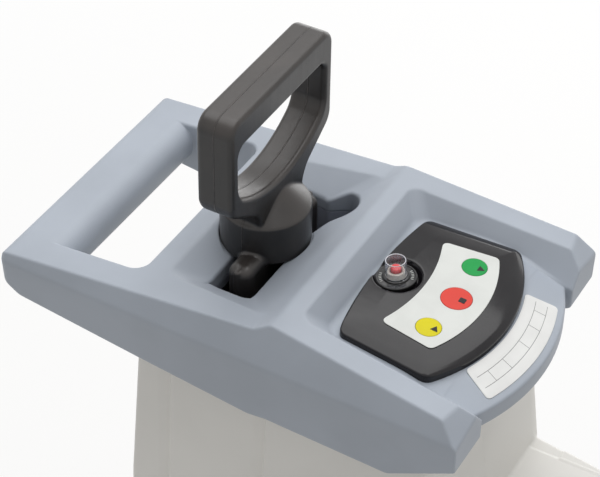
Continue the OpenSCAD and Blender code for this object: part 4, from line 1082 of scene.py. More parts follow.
    def bed(self, block: Block) -> Form:
        """Solid under the panel's floor and the round apron in front of it.

        Args:
            block: Block that is carved.

        Returns:
            The form.
        """
        _, above = self.on_floor(block)
        rise = (self.lip_r - self.from_lip(block)) * self.apron
        cone = block.form((block.z - self.lip_top - rise) / math.sqrt(1 + self.apron ** 2))
        return block.form(above).meet(cone, self.apron_round)

    def recess(self, block: Block) -> Form:
        """Space above the panel's floor and the apron, between the arms.

        Args:
            block: Block that is carved.

        Returns:
            The form.
        """
        along, above = self.on_floor(block)
        lean = self.recess_lean
        tall = math.sqrt(1 + lean * lean)
        flare = self.recess_flare * np.minimum(along, 0)
        wall = block.form((np.abs(block.x) - self.recess_half - lean * above + flare) / tall)
        back = block.form((along - lean * above) / tall)
        return wall.meet(back, self.recess_round).carve(self.bed(block), self.recess_foot)

    def lip(self, block: Block) -> Form:
        """Round apron and lip between the arms.

        Args:
            block: Block that is carved.

        Returns:
            The form.
        """
        body = self.bed(block).meet(block.form(self.from_lip(block) - self.lip_r), self.lip_round)
        body = body.meet(block.form(self.lip_top - self.lip_face - block.z), self.lip_round)
        return body & block.box((-97, -200, -60), (97, -60, 10))

    def throat(self, block: Block) -> Form:
        """Collar under the slot, in a grey a little darker than the cover as painted shade.

        Args:
            block: Block that is carved.

        Returns:
            The form.
        """
        outline = block.prism(self.slot_outline())
        inner, outer = self.collar_wall
        depth = block.form(np.abs(block.z - self.collar_z[0]) - self.collar_z[1])
        return (outline.grow(outer) - outline.grow(inner)) & depth

    def build(self) -> bpy.types.Object:
        """Carves the cover.

        Returns:
            The piece.
        """
        block = Block((-136, -201, -91), (136, 242, 12), self.step)
        shell = self.shell(block)
        half, start = self.window
        gap = block.box((-half, start, -120), (half, 300, 60), self.window_round)
        body = shell.carve(gap, self.window_rim) | self.handle(block, shell)
        between = block.box((-85, -260, -120), (85, -150, 60))
        cavity = block.box((-119, -158, -120), (119, 113, -50))
        under = block.box((-97, 0, -120), (97, 104, -33))
        body = (body - between - cavity - under) | self.lip(block)
        body = body.carve(self.dish(block), self.dish_rim).carve(self.recess(block), self.recess_rim)
        y, r, low = self.seat
        body = body.carve(block.rod((0, y), r, low, 60), self.seat_rim)
        body = body.carve(block.prism(self.slot_outline()), self.slot_rim)
        return body.piece("cover_shell", self.datum, 0.12)

    def dress(self, shop: Workshop) -> None:
        """Builds the cover and seats it on the machine.

        Args:
            shop: Workshop that seats the pieces.
        """
        shop.seat(self.build(), Body.MACHINE, COVER_GREY, "cover_plastic", ["top_cover"])
        block = Block((-78, -2, -94), (86, 76, -30), 1.2)
        # The collar's darker grey is painted shade inside the slot.
        collar = self.throat(block).piece("slot_collar", self.datum)
        shop.seat(collar, Body.MACHINE, SHADED_THROAT_GREY, "black_plastic")


@dataclass
class Plunger:
    """Black push-down plunger: loop, drum with cone shoulders and tongue."""

    datum: Datum
    half: float = 79.0
    top: float = 150.4
    side_low: float = 62.0
    thick: float = 16.2
    neck_half: float = 34.5
    hole_half: float = 67.0
    hole_top: float = 123.0
    hole_low: float = 53.0
    hole_r: float = 107.0
    drum_r: float = 38.0
    drum: Corner = (-16.7, 20.5)
    cone_top: float = 54.0
    tongue: Point = (60.0, 11.0, -93.0)
    tongue_y: float = -8.0
    tongue_round: float = 9.0
    rib: Corner = (1.5, 2.5)
    crown_round: float = 14.0
    hip_round: float = 9.0
    hip_way: Corner = (0.536, 0.844)
    neck_z: Corner = (32.0, 24.0)
    loop_low: float = 8.0
    hole_round: Corner = (9.0, 7.0)
    drum_round: Corner = (2.5, 1.2)
    loop_fillet: float = 1.6
    blade_fillet: float = 3.0
    edge: float = 4.6
    step: float = 1.1

    def loop(self, block: Block) -> Form:
        """Flat loop of the grip with its neck, still without the hole.

        Args:
            block: Block that is carved.

        Returns:
            The form.
        """
        across, height = np.abs(block.x), block.z
        run, rise = self.hip_way
        hip = block.form(run * across - rise * height - (run * self.half - rise * self.side_low))
        loop = block.form(across - self.half).meet(block.form(height - self.top), self.crown_round)
        middle, half = self.neck_z
        neck = block.form(across - self.neck_half) & block.form(np.abs(height - middle) - half)
        loop = loop.meet(hip, self.hip_round).blend(neck, self.hip_round)
        loop = loop & block.form(self.loop_low - height)
        return loop.meet(block.form(np.abs(block.y) - self.thick), self.edge)

    def hole(self, block: Block) -> Form:
        """Space of the hand hole with its curved lower side.

        Args:
            block: Block that is carved.

        Returns:
            The form.
        """
        arc = np.sqrt(block.x ** 2 + (block.z - self.hole_low - self.hole_r) ** 2) - self.hole_r
        sides, top = block.form(np.abs(block.x) - self.hole_half), block.form(block.z - self.hole_top)
        return sides.meet(top, self.hole_round[0]).meet(block.form(arc), self.hole_round[1])

    def blade(self, block: Block) -> Form:
        """Tongue with the seam rib round it.

        Args:
            block: Block that is carved.

        Returns:
            The form.
        """
        half, thick, foot = self.tongue
        y, (out, rib) = self.tongue_y, self.rib
        blade = block.box((-half, y - thick, foot), (half, y + thick, -6.0), self.tongue_round)
        return blade.blend(block.box((-half - out, y - rib, foot), (half + out, y + rib, -8.0), 2.0), 2.0)

    def build(self) -> bpy.types.Object:
        """Carves the plunger.

        Returns:
            The piece.
        """
        block = Block((-82, -42, -97), (82, 42, 154), self.step)
        out = block.out()
        low, high = self.drum
        rise = self.cone_top - high
        cone = (rise * out + self.drum_r * (block.z - self.cone_top)) / math.hypot(rise, self.drum_r)
        drum = block.form(out - self.drum_r).meet(block.form(low - block.z), self.drum_round[0])
        drum = drum.meet(block.form(cone), self.drum_round[1])
        body = drum.blend(self.loop(block), self.loop_fillet).carve(self.hole(block), self.edge)
        return body.blend(self.blade(block), self.blade_fillet).piece("plunger_moulding", self.datum)

    def dress(self, shop: Workshop) -> None:
        """Builds the plunger and seats it on its body.

        Args:
            shop: Workshop that seats the pieces.
        """
        seam = self.datum.origin[1] * MM
        grip = BlowMoulding("grip_black", srgb(24, 23, 23), srgb(56, 51, 48), seam)
        shop.seat(self.build(), Body.PLUNGER, grip, "black_plastic", ["plunger"])


@dataclass(frozen=True)
class Button:
    """A keypad button, and the sides and turn of the sign on it."""

    name: str
    body: Body
    at: Corner
    r: float
    finish: SatinFilm
    slot: str
    sign_sides: int
    sign_turn: float


@dataclass
class ControlPanel:
    """Gloss panel with its keypad film, buttons and breaker."""

    datum: Datum
    rear: float = 10.4
    rear_bulge: float = 8.0
    rear_half: float = 79.0
    front_half: float = 86.0
    corner: float = 90.0
    front_bulge: float = 29.5
    rim: float = 4.4
    border: float = 6.5
    border_top: float = 7.4
    top: float = 10.0
    crown: float = 0.17
    rear_top: float = 8.2
    rear_fall: float = 0.09
    breaker_y: float = -20.2
    breaker_lean: float = 8.0
    nut_r: float = 17.0
    nut_seat: float = 4.6
    well: float = 3.0
    film_half: Corner = (54.8, 61.5)
    film_rear: Corner = (45.0, 33.8)
    film_front: Corner = (97.2, 81.5)
    film_t: float = 0.6
    button_y: float = -73.3
    side_x: float = 41.0
    side_back: float = 4.0
    stop_r: float = 12.8
    side_r: float = 10.4
    button_proud: float = 0.5
    button_foot: float = 1.6
    button_round: float = 0.5
    button_dome: float = 0.25
    hole_play: float = 0.25
    well_play: float = 0.3
    sign_r: float = 3.915
    sign_y: float = 5.2
    sign_z: Corner = (-0.4, 0.06)
    corner_round: float = 5.0
    border_round: float = 1.2
    crown_round: float = 0.8
    top_round: float = 1.0
    nut_gap: float = 0.8
    nut_flare: float = 0.6
    nut_rim: float = 0.9
    film_round: float = 5.5
    low: float = -5.5
    step: float = 0.75

    def outline(self, u: np.ndarray, v: np.ndarray) -> tuple[np.ndarray, np.ndarray, np.ndarray]:
        """Signed distances to the outline, to its sides and front alone, and to its rear edge.

        Args:
            u: Local X.
            v: Local Y.

        Returns:
            The three distances.
        """
        run = (self.front_half - self.rear_half) / (self.corner - self.rear)
        sides = (np.abs(u) - self.rear_half + run * (v + self.rear)) / math.sqrt(1 + run * run)
        def arc(half: float, bulge: float, crest: float, way: int) -> np.ndarray:
            """Distance to an edge that bulges to the rear (1) or the front (-1)."""
            r = (half * half + bulge * bulge) / (2 * bulge)
            return np.sqrt(u ** 2 + (v - way * (crest - r)) ** 2) - r
        back = arc(self.rear_half, self.rear_bulge, self.rear_bulge - self.rear, 1)
        front = arc(self.front_half, self.front_bulge, self.corner + self.front_bulge, -1)
        plan = rounded_max(rounded_max(sides, back, self.corner_round), front, self.corner_round)
        return plan, rounded_max(sides, front, self.corner_round), back

    def build(self) -> bpy.types.Object:
        """Carves the panel.

        Returns:
            The piece.
        """
        block = Block((-90, -124, -7), (90, 2, 13), self.step)
        plan, fore, back = self.outline(block.x, block.y)
        rise = (self.border_top - self.rim) / self.border
        slope = block.form((block.z - self.rim - rise * -fore) / math.sqrt(1 + rise * rise))
        crown = block.form(block.z - self.border_top - self.crown * (-fore - self.border))
        fall = block.form(block.z - self.rear_top - self.rear_fall * -back)
        flat = block.form(block.z - self.top)
        body = block.form(plan).meet(slope, self.border_round).meet(crown, self.crown_round)
        body = body.meet(fall & flat, self.top_round)
        body = body & block.form(self.low - block.z)
        out = block.out((0.0, self.breaker_y))
        rise = block.z - self.nut_seat
        flare = block.form((out - self.nut_r - self.nut_gap - rise * self.nut_flare) * 0.85)
        body = body.carve(flare & block.form(-rise), self.nut_rim)
        for button in self.buttons():
            body = body - block.rod(button.at, button.r + self.well_play, self.well, 40.0)
        return body.piece("panel_moulding", self.datum)

    def film_outline(self) -> list[Corner]:
        """Outline of the film with rounded corners.

        Returns:
            The outline.
        """
        def arc(half: float, crest: float, end: float) -> list[Corner]:
            """Points on an edge that bulges to the front."""
            r = (half ** 2 + (crest - end) ** 2) / (2 * (crest - end))
            return [(float(x), r - crest - math.sqrt(r * r - x * x))
                    for x in np.linspace(-half, half, 25)]
        front = arc(self.film_half[1], *self.film_front)
        back = arc(self.film_half[0], *self.film_rear)
        return rounded_outline(front + back[::-1], self.film_round)

    def buttons(self) -> list[Button]:
        """The three buttons of the keypad.

        Returns:
            The buttons.
        """
        back = self.button_y + self.side_back
        return [Button("start", Body.START, (self.side_x, back), self.side_r, START_GREEN, "green_button",
                       3, -math.pi / 2),
                Button("stop", Body.STOP, (0.0, self.button_y), self.stop_r, STOP_RED, "red_button",
                       4, math.pi / 4),
                Button("reverse", Body.REVERSE, (-self.side_x, back), self.side_r, REVERSE_YELLOW,
                       "yellow_button", 3, 0.0)]

    def build_film(self) -> bpy.types.Object:
        """Cuts the film with a hole for each button.

        Returns:
            The piece.
        """
        holes = [circle_points(button.at, button.r + self.hole_play, 64) for button in self.buttons()]
        film = sheet_piece("keypad_sheet", self.film_outline(), holes, self.top, self.top + self.film_t,
                           self.datum)
        return soften(film, 0.00012, 40.0)

    def crest(self) -> float:
        """Height of the buttons' faces."""
        return self.top + self.film_t + self.button_proud

    def build_button(self, button: Button) -> bpy.types.Object:
        """Turns a button with a domed face.

        Args:
            button: The button.

        Returns:
            The piece.
        """
        r, low, edge = button.r, self.top - self.button_foot, self.button_round
        rim = self.crest() - self.button_dome
        profile = [(0.0, low), (r, low), (r, rim - edge)]
        profile += [(r - edge * (1 - math.cos(a)), rim - edge + edge * math.sin(a))
                    for a in np.linspace(0.3, math.pi / 2, 4)]
        profile += [(r * s, rim + self.button_dome * (1 - s * s)) for s in (0.9, 0.7, 0.5, 0.25, 0.0)]
        return soften(lathe(f"{button.name}_face", profile, 72, self.datum.moved(*button.at)))

    def sign(self, button: Button) -> bpy.types.Object:
        """Draws the sign on a button.

        Args:
            button: The button.

        Returns:
            The piece.
        """
        turns = [button.sign_turn + i * math.tau / button.sign_sides for i in range(button.sign_sides)]
        corners = [(button.at[0] + self.sign_r * math.cos(turn),
                    button.at[1] - self.sign_y + self.sign_r * math.sin(turn)) for turn in turns]
        low, high = (self.crest() + z for z in self.sign_z)
        outline = rounded_outline(corners, 0.35)
        return soften(sheet_piece(f"{button.name}_sign", outline, [], low, high, self.datum))

    def build_breaker(self, shop: Workshop) -> None:
        """Makes the breaker's ringed nut, bush, button and cap.

        Args:
            shop: Workshop that seats the pieces.
        """
        stand = self.datum.moved(0.0, self.breaker_y, self.nut_seat, self.breaker_lean)
        outer, inner = self.nut_r, 8.0
        ring = [(inner, 0.0), (outer, 0.0), (outer, 2.6), (outer - 0.7, 3.3), (outer - 1.6, 3.3),
                (outer - 2.0, 2.7), (outer - 5.6, 3.0), (outer - 6.0, 4.4), (outer - 6.8, 4.8), (inner, 4.8)]
        nut = soften(lathe("breaker_ring", ring, 96, stand), 0.0002)
        shop.seat(nut, Body.MACHINE, NUT_BLACK, "black_plastic", ["breaker_nut"])
        marks = [Matrix.Translation((0, 0, 2.9)) @ Matrix.Rotation(math.radians(turn), 4, "Z")
                 @ Matrix.Translation((outer - 3.8, 0, 0))
                 for turn in (*range(-82, -36, 9), *range(98, 144, 9))]
        ticks = repeat_box("breaker_ticks", (2.2, 0.55, 0.4), marks, stand)
        shop.seat(ticks, Body.MACHINE, FILM_WHITE, "blank_label")
        bush = [(5.2, 2.0), (7.6, 2.0)]
        for low in (5.0, 6.3, 7.6):
            bush += [(7.6, low), (7.1, low + 0.35), (7.1, low + 0.7), (7.6, low + 1.05)]
        bush += [(7.2, 9.4), (5.2, 9.4)]
        face = [(0.0, 7.0), (4.4, 7.0), (4.4, 11.6), (3.9, 12.3), (2.4, 12.6), (0.0, 12.7)]
        wide, low, top = 8.6, 4.8, 19.0
        cap = [(wide - 0.8, low), (wide + 0.5, low), (wide + 0.5, low + 1.0), (wide, low + 1.5),
               (wide, top - 0.5), (wide - 0.3, top), (wide - 0.7, top), (wide - 0.95, top - 0.5),
               (wide - 0.95, low + 1.0)]
        brim = [(wide - 0.85, top - 0.1), (wide - 0.45, top - 0.1), (wide - 0.2, top + 0.15),
                (wide - 0.45, top + 0.4), (wide - 0.85, top + 0.15)]
        for name, profile, sides, body, finish, slot, nodes in (
                ("breaker_bush", bush, 64, Body.MACHINE, BUSH_PALE, "dark_phenolic", ["breaker_body"]),
                ("reset_face", face, 48, Body.RESET, RESET_RED, "red_button", ["reset_button"]),
                ("breaker_cap", cap, 72, Body.MACHINE, CAP_CLEAR, "clear_plastic", ["clear_cap"]),
                ("breaker_brim", brim, 72, Body.MACHINE, BRIM_WHITE, "clear_plastic", [])):
            shop.seat(soften(lathe(name, profile, sides, stand)), body, finish, slot, nodes)

    def dress(self, shop: Workshop) -> None:
        """Builds the panel with all that it carries.

        Args:
            shop: Workshop that seats the pieces.
        """
        shop.seat(self.build(), Body.MACHINE, PANEL_BLACK, "panel_plastic", ["control_panel"])
        shop.seat(self.build_film(), Body.MACHINE, FILM_WHITE, "keypad_film", ["keypad_film"])
        for button in self.buttons():
            nodes = [f"{button.name}_button"]
            shop.seat(self.build_button(button), button.body, button.finish, button.slot, nodes)
            shop.seat(self.sign(button), button.body, SIGN_BLACK, button.slot)
        self.build_breaker(shop)


def smooth_loop(points: Sequence[Corner], parts: int = 4) -> list[Corner]:
    """Draws a smooth closed line through points.

    Args:
        points: Points in order.
        parts: Stretches between two points.

    Returns:
        The line.
    """
    given = np.array(points)
    before, after, later = (np.roll(given, k, axis=0) for k in (1, -1, -2))
    line = []
    for k in range(len(given)):
        for t in np.arange(parts) / parts:
            a, b = (after[k] - before[k]) / 2, (later[k] - given[k]) / 2
            line.append(tuple((2 * t ** 3 - 3 * t ** 2 + 1) * given[k] + (t ** 3 - 2 * t ** 2 + t) * a
                              + (3 * t ** 2 - 2 * t ** 3) * after[k] + (t ** 3 - t ** 2) * b))
    return line


def circle_points(at: Corner, r: float, count: int) -> list[Corner]:
    """Points on a circle."""
    return [(at[0] + r * math.cos(math.tau * i / count), at[1] + r * math.sin(math.tau * i / count))
            for i in range(count)]


def rounded_outline(corners: Sequence[Corner], r: float, sharp: float = 25.0) -> list[Corner]:
    """Rounds the sharp corners of an outline and leaves out points that they pass.

    Args:
        corners: Corners in order.
        r: Radius.
        sharp: Corners that turn by more than this many degrees are rounded.

    Returns:
        The rounded outline.
    """
    result: list[tuple[Any, bool]] = []
    turned: list[tuple[Vector, float]] = []
    touching = 1e-6
    count = len(corners)
    for i in range(count):
        before, here, after = (Vector(corners[(i + k) % count]) for k in (-1, 0, 1))
        a, b = before - here, after - here
        if a.length < touching or b.length < touching:
            continue
        turn = math.pi - a.angle(b)
        if math.degrees(turn) < sharp:
            result.append((here, True))
            continue
        reach = r * math.tan(turn / 2)
        turned.append((here, reach))
        start, end = here + a.normalized() * reach, here + b.normalized() * reach
        for t in np.linspace(0, 1, 9):
            result.append(((1 - t) ** 2 * start + 2 * t * (1 - t) * here + t * t * end, False))
    return [tuple(p) for p, plain in result
            if not plain or all((p - c).length > reach for c, reach in turned)]


def sheet_piece(name: str, outline: Sequence[Corner], holes: Sequence[Sequence[Corner]], low: float,
                high: float, datum: Datum) -> bpy.types.Object:
    """Cuts a flat sheet from an outline.

    Args:
        name: Name of the piece.
        outline: Outer outline in millimetres.
        holes: Outlines of holes.
        low: Height of the lower face.
        high: Height of the upper face.
        datum: Local frame.

    Returns:
        The piece.
    """
    work = bmesh.new()
    edges = []
    for loop in [outline, *holes]:
        points = [work.verts.new((u, v, low)) for u, v in loop]
        edges += [work.edges.new((points[i], points[i - 1])) for i in range(len(points))]
    made = bmesh.ops.triangle_fill(work, use_beauty=True, use_dissolve=False, edges=edges)
    faces = [f for f in made["geom"] if isinstance(f, bmesh.types.BMFace)]
    up = bmesh.ops.extrude_face_region(work, geom=faces)
    lifted = [v for v in up["geom"] if isinstance(v, bmesh.types.BMVert)]
    bmesh.ops.translate(work, vec=(0, 0, high - low), verts=lifted)
    bmesh.ops.recalc_face_normals(work, faces=work.faces[:])
    return finish_work(name, work, datum)


def finish_work(name: str, work: bmesh.types.BMesh, datum: Datum) -> bpy.types.Object:
    """Ends a mesh that was drawn in millimetres and puts it in the row.

    Args:
        name: Name of the piece.
        work: The mesh.
        datum: Local frame.

    Returns:
        The piece.
    """
    mesh = bpy.data.meshes.new(name)
    work.to_mesh(mesh)
    work.free()
    mesh.transform(datum.matrix() @ Matrix.Scale(MM, 4))
    return put(name, mesh)


def lathe(name: str, profile: Sequence[Corner], count: int, datum: Datum) -> bpy.types.Object:
    """Turns a profile about the local Z axis.

    Args:
        name: Name of the piece.
        profile: Radius and height of each point; one that starts off the axis is a closed ring.
        count: Sides.
        datum: Local frame.

    Returns:
        The piece.
    """
    work = bmesh.new()
    rings = []
    for r, h in profile:
        if r == 0:
            rings.append([work.verts.new((0, 0, h))] * count)
        else:
            rings.append([work.verts.new((u, v, h)) for u, v in circle_points((0.0, 0.0), r, count)])
    pairs = list(zip(rings, rings[1:])) + ([(rings[-1], rings[0])] if profile[0][0] > 0 else [])
    for low, high in pairs:
        for i in range(count):
            corners = [low[i - 1], low[i], high[i], high[i - 1]]
            distinct = list(dict.fromkeys(corners))
            if len(distinct) > 2:
                work.faces.new(distinct)
    bmesh.ops.recalc_face_normals(work, faces=work.faces[:])
    return finish_work(name, work, datum)


def repeat_box(name: str, size: Point, places: Iterable[Matrix], datum: Datum) -> bpy.types.Object:
    """Repeats a small block with eased edges.

    Args:
        name: Name of the piece.
        size: Size of a block in millimetres.
        places: Place of each block.
        datum: Local frame.

    Returns:
        The piece.
    """
    work = bmesh.new()
    for place in places:
        bmesh.ops.create_cube(work, size=1.0, matrix=place @ Matrix.Diagonal((*size, 1.0)))
    bmesh.ops.bevel(work, geom=work.edges[:], offset=min(size) * 0.2, segments=2, affect="EDGES",
                    profile=0.5)
    return soften(finish_work(name, work, datum))


@dataclass
class RatingPlate:
    """Blank rating plate on the apron, with the empty boxes of its table."""

    cover: TopCover
    half_arc: float = 21.0
    near: float = 172.2
    far: float = 145.0
    corner: float = 3.5
    turn: float = -1.6
    line: float = 0.35
    line_top: float = 0.46
    margins: Corner = (9.0, 8.5)
    bars: tuple[float, ...] = (-0.72, -0.4, 0.05, 0.42, 0.74)

    def sheet(self, name: str, across: Corner, along: Corner, low: float, high: float,
              r: float = 0.0) -> bpy.types.Object:
        """Lays a strip on the apron.

        Args:
            name: Name of the piece.
            across: Radius of the inner and the outer edge.
            along: Angle of the two ends in degrees.
            low: Height of the lower face above the apron.
            high: Height of the upper face.
            r: Radius of the corners.

        Returns:
            The piece.
        """
        work = bmesh.new()
        middle = sum(across) / 2
        ends = [math.radians(a + self.turn) for a in along]
        steps = np.concatenate([ends[0] + r / middle * (1 - np.cos(np.linspace(0, math.pi / 2, 6))),
                                np.linspace(ends[0] + r / middle, ends[1] - r / middle, 40)[1:-1],
                                ends[1] - r / middle * (1 - np.cos(np.linspace(math.pi / 2, 0, 6)))])
        rows = []
        for angle in steps:
            gone = max(0.0, r - middle * min(angle - ends[0], ends[1] - angle))
            cut = r - math.sqrt(max(0.0, r * r - gone * gone))
            row = []
            for lift in (low, high):
                for out in np.linspace(across[0] + cut, across[1] - cut, 5):
                    height = self.cover.lip_top + (self.cover.lip_r - out) * self.cover.apron + lift
                    row.append(work.verts.new((out * math.sin(angle),
                                               self.cover.lip_y - out * math.cos(angle), height)))
            rows.append(row)
        ring = [0, 1, 2, 3, 4, 9, 8, 7, 6, 5]
        for one, two in zip(rows, rows[1:]):
            for k in range(10):
                i, j = ring[k - 1], ring[k]
                work.faces.new([one[i], one[j], two[j], two[i]])
        work.faces.new([rows[0][i] for i in ring])
        work.faces.new([rows[-1][i] for i in ring])
        bmesh.ops.recalc_face_normals(work, faces=work.faces[:])
        return soften(finish_work(name, work, self.cover.datum))

    def dress(self, shop: Workshop) -> None:
        """Builds the plate and its empty table.

        Args:
            shop: Workshop that seats the pieces.
        """
        arc = self.half_arc
        plate = self.sheet("plate_sheet", (self.far, self.near), (-arc, arc), -0.3, 0.4, self.corner)
        shop.seat(plate, Body.MACHINE, PLATE_WHITE, "blank_label", ["rating_plate"])
        inner, outer = self.far + self.margins[0], self.near - self.margins[1]
        width, end = math.degrees(self.line / 160.0), arc - 1.6
        strips = [(f"plate_rule_{k}", (out, out + self.line), (-end, end))
                  for k, out in enumerate((inner, outer))]
        strips += [(f"plate_bar_{k}", (inner, outer), (arc * share, arc * share + width))
                   for k, share in enumerate(self.bars)]
        for name, across, along in strips:
            rule = self.sheet(name, across, along, 0.2, self.line_top)
            shop.seat(rule, Body.MACHINE, PRINT_GREY, "blank_label")


SLOT_FINISH: dict[str, Finish] = {
    "cover_plastic": COVER_GREY, "housing_plastic": TOWER_GREY, "black_plastic": TRIM_BLACK,
    "panel_plastic": PANEL_BLACK, "keypad_film": FILM_WHITE, "green_button": START_GREEN,
    "red_button": STOP_RED, "yellow_button": REVERSE_YELLOW, "clear_plastic": CAP_CLEAR,
    "circuit_board": BOARD_GREEN, "dark_phenolic": CHUTE_BLACK, "blank_label": PLATE_WHITE,
    "zinc_steel": ZINC, "machined_steel": STEEL, "cast_aluminium": CAST, "base_plastic": BASE_GREY,
    "box_plastic": BOX_GREY, "latch_plastic": LATCH_RED, "wheel_plastic": WHEEL_GREY,
    "tyre_rubber": RUBBER, "foot_rubber": RUBBER, "motor_paint": MOTOR_PAINT,
    "copper_wire": COPPER, "capacitor_shell": BUSH_PALE,
}


@dataclass
class Housing:
    """Pale tower and nose in two halves with a seam between them."""

    top: float
    low: float
    step_y: float
    nose_z: float
    lean: float = 2.6
    front_lean: float = 6.2
    half: float = 97.7
    rear: float = 121.0
    front: float = 141.5
    nose_front: float = 238.0
    nose_half: float = 93.0
    corner: float = 4.0
    front_round: float = 2.0
    lid_round: float = 3.0
    nose_fillet: float = 2.5
    wall: float = 6.5
    grooves: tuple[float, float] = (95.0, 4.0)
    half_gain: Corner = (14.6, 11.3)
    strip: float = 12.0
    strip_turn: float = 0.16
    band: float = 12.5
    band_drop: float = 1.6
    band_slope: float = 0.6
    band_end: float = 188.0
    nose_taper: Corner = (121.0, 129.0)
    nose_overlap: float = 40.0
    nose_square: float = 0.985
    vent_pitch: float = 11.0
    vent_h: float = 4.6
    vent_rows: int = 6
    vent_drop: float = 96.0
    side_vent: Corner = (201.0, 23.0)
    front_vent: Corner = (27.0, 22.0)
    vent_in: Corner = (60.0, 226.0)
    groove_run: Corner = (5.0, 6.5)
    groove_ease: Corner = (1.2, 10.0)
    groove_depth: float = 3.0
    seam: float = 0.3
    step: float = 1.5

    def half_at(self, z: Any) -> Any:
        """Half the width of the tower at a height."""
        gains = [*self.half_gain, 0.0]
        return self.half + np.interp(z, [self.low, self.nose_z, self.top], gains)

    def tower(self, block: Block, inset: float) -> Form:
        """Tower, drawn in by inset.

        Args:
            block: Block that is carved.
            inset: How far the surface is drawn in.

        Returns:
            The form.
        """
        c, t = math.cos(math.radians(self.lean)), math.tan(math.radians(self.lean))
        grow = (self.top - block.z) * t - inset
        out = np.abs(block.x) - self.half_at(block.z)
        sides = block.form((out + inset) * c)
        back = block.form((block.y - self.step_y - self.rear - grow) * c)
        lean = math.radians(self.front_lean)
        forward = self.front + (self.top - block.z) * math.tan(lean) - inset
        strip = np.clip(out + self.strip, 0, None) * self.strip_turn
        front = block.form((self.step_y - forward + strip - block.y) * math.cos(lean))
        return sides.meet(back, self.corner).meet(front, self.front_round)

    def nose(self, block: Block, inset: float) -> Form:
        """Nose over the motor, drawn in by inset.

        Args:
            block: Block that is carved.
            inset: How far the surface is drawn in.

        Returns:
            The form.
        """
        c, t = math.cos(math.radians(self.lean)), math.tan(math.radians(self.lean))
        grow = (self.nose_z - block.z) * t - inset
        wide = float(self.half_at(self.nose_z))
        start, run = self.nose_taper[0], self.nose_front - self.nose_taper[1]
        share = np.clip((self.step_y - start - block.y) / run, 0, 1.2)
        out = np.abs(block.x) - wide - (self.nose_half - wide) * share - grow
        front = block.form((self.step_y - self.nose_front - grow - block.y) * c)
        back = block.form(block.y - self.step_y + self.front - self.nose_overlap)
        return block.form(out * self.nose_square).meet(front, self.corner) & back

    def vents(self, block: Block) -> Form:
        """Cooling slots in both sides and the front of the nose.

        Args:
            block: Block that is carved.

        Returns:
            The form.
        """
        rise = block.z - (self.nose_z - self.vent_drop)
        line = np.abs(np.mod(rise, self.vent_pitch) - self.vent_pitch / 2) - self.vent_h / 2
        tall = np.maximum(line, np.maximum(-rise, rise - self.vent_rows * self.vent_pitch))
        across, y = np.abs(block.x), block.y - self.step_y
        flank = np.maximum(np.abs(y + self.side_vent[0]) - self.side_vent[1], self.vent_in[0] - across)
        face = np.maximum(np.abs(across - self.front_vent[0]) - self.front_vent[1], y + self.vent_in[1])
        return block.form(np.maximum(tall, np.minimum(flank, face)))

    def lid(self, block: Block) -> Form:
        """Space under the nose's top, which is lower along both sides.

        Args:
            block: Block that is carved.

        Returns:
            The form.
        """
        edge = np.abs(block.x) - (self.half - self.band)
        forward = np.clip((self.step_y - self.band_end - block.y) / 2.0, 0, 1)
        drop = np.clip(edge * self.band_slope, 0, self.band_drop)
        return block.form(block.z - self.nose_z + drop - self.band_drop * forward * np.clip(edge, 0, 1))

    def build(self, side: int) -> bpy.types.Object:
        """Carves one half.

        Args:
            side: -1 for the left half, 1 for the right half.

        Returns:
            The piece.
        """
        span = (-118.0, 3.0) if side < 0 else (-3.0, 118.0)
        block = Block((span[0], -246, self.low - 2), (span[1], 152, self.top + 4), self.step)
        tower = self.tower(block, 0) & block.form(block.z - self.top)
        nose = self.nose(block, 0).meet(self.lid(block), self.lid_round)
        outer = tower.blend(nose, self.nose_fillet)
        under = block.form(block.z - self.nose_z + self.wall + 2)
        inner = self.tower(block, self.wall) | (self.nose(block, self.wall) & under)
        body = (outer - inner) & block.form(self.low - block.z)
        out = np.abs(block.x) - self.half_at(block.z)
        for y in self.grooves:
            run = block.y - self.step_y - y
            flanks = ((self.groove_run[0] + run) / self.groove_ease[0],
                      (self.groove_run[1] - run) / self.groove_ease[1])
            body = body & block.form(out + np.clip(np.minimum(*flanks), 0, 1) * self.groove_depth)
        body = body - self.vents(block)
        half = body & block.form(block.x * -side - self.seam)
        return half.piece("housing_shell_left" if side < 0 else "housing_shell_right", ROW, 0.12, body)

    def dress(self, shop: Workshop) -> None:
        """Builds both halves and seats them on the machine."""
        for side, node in ((-1, "housing_left"), (1, "housing_right")):
            shop.seat(self.build(side), Body.MACHINE, TOWER_GREY, "housing_plastic", [node])


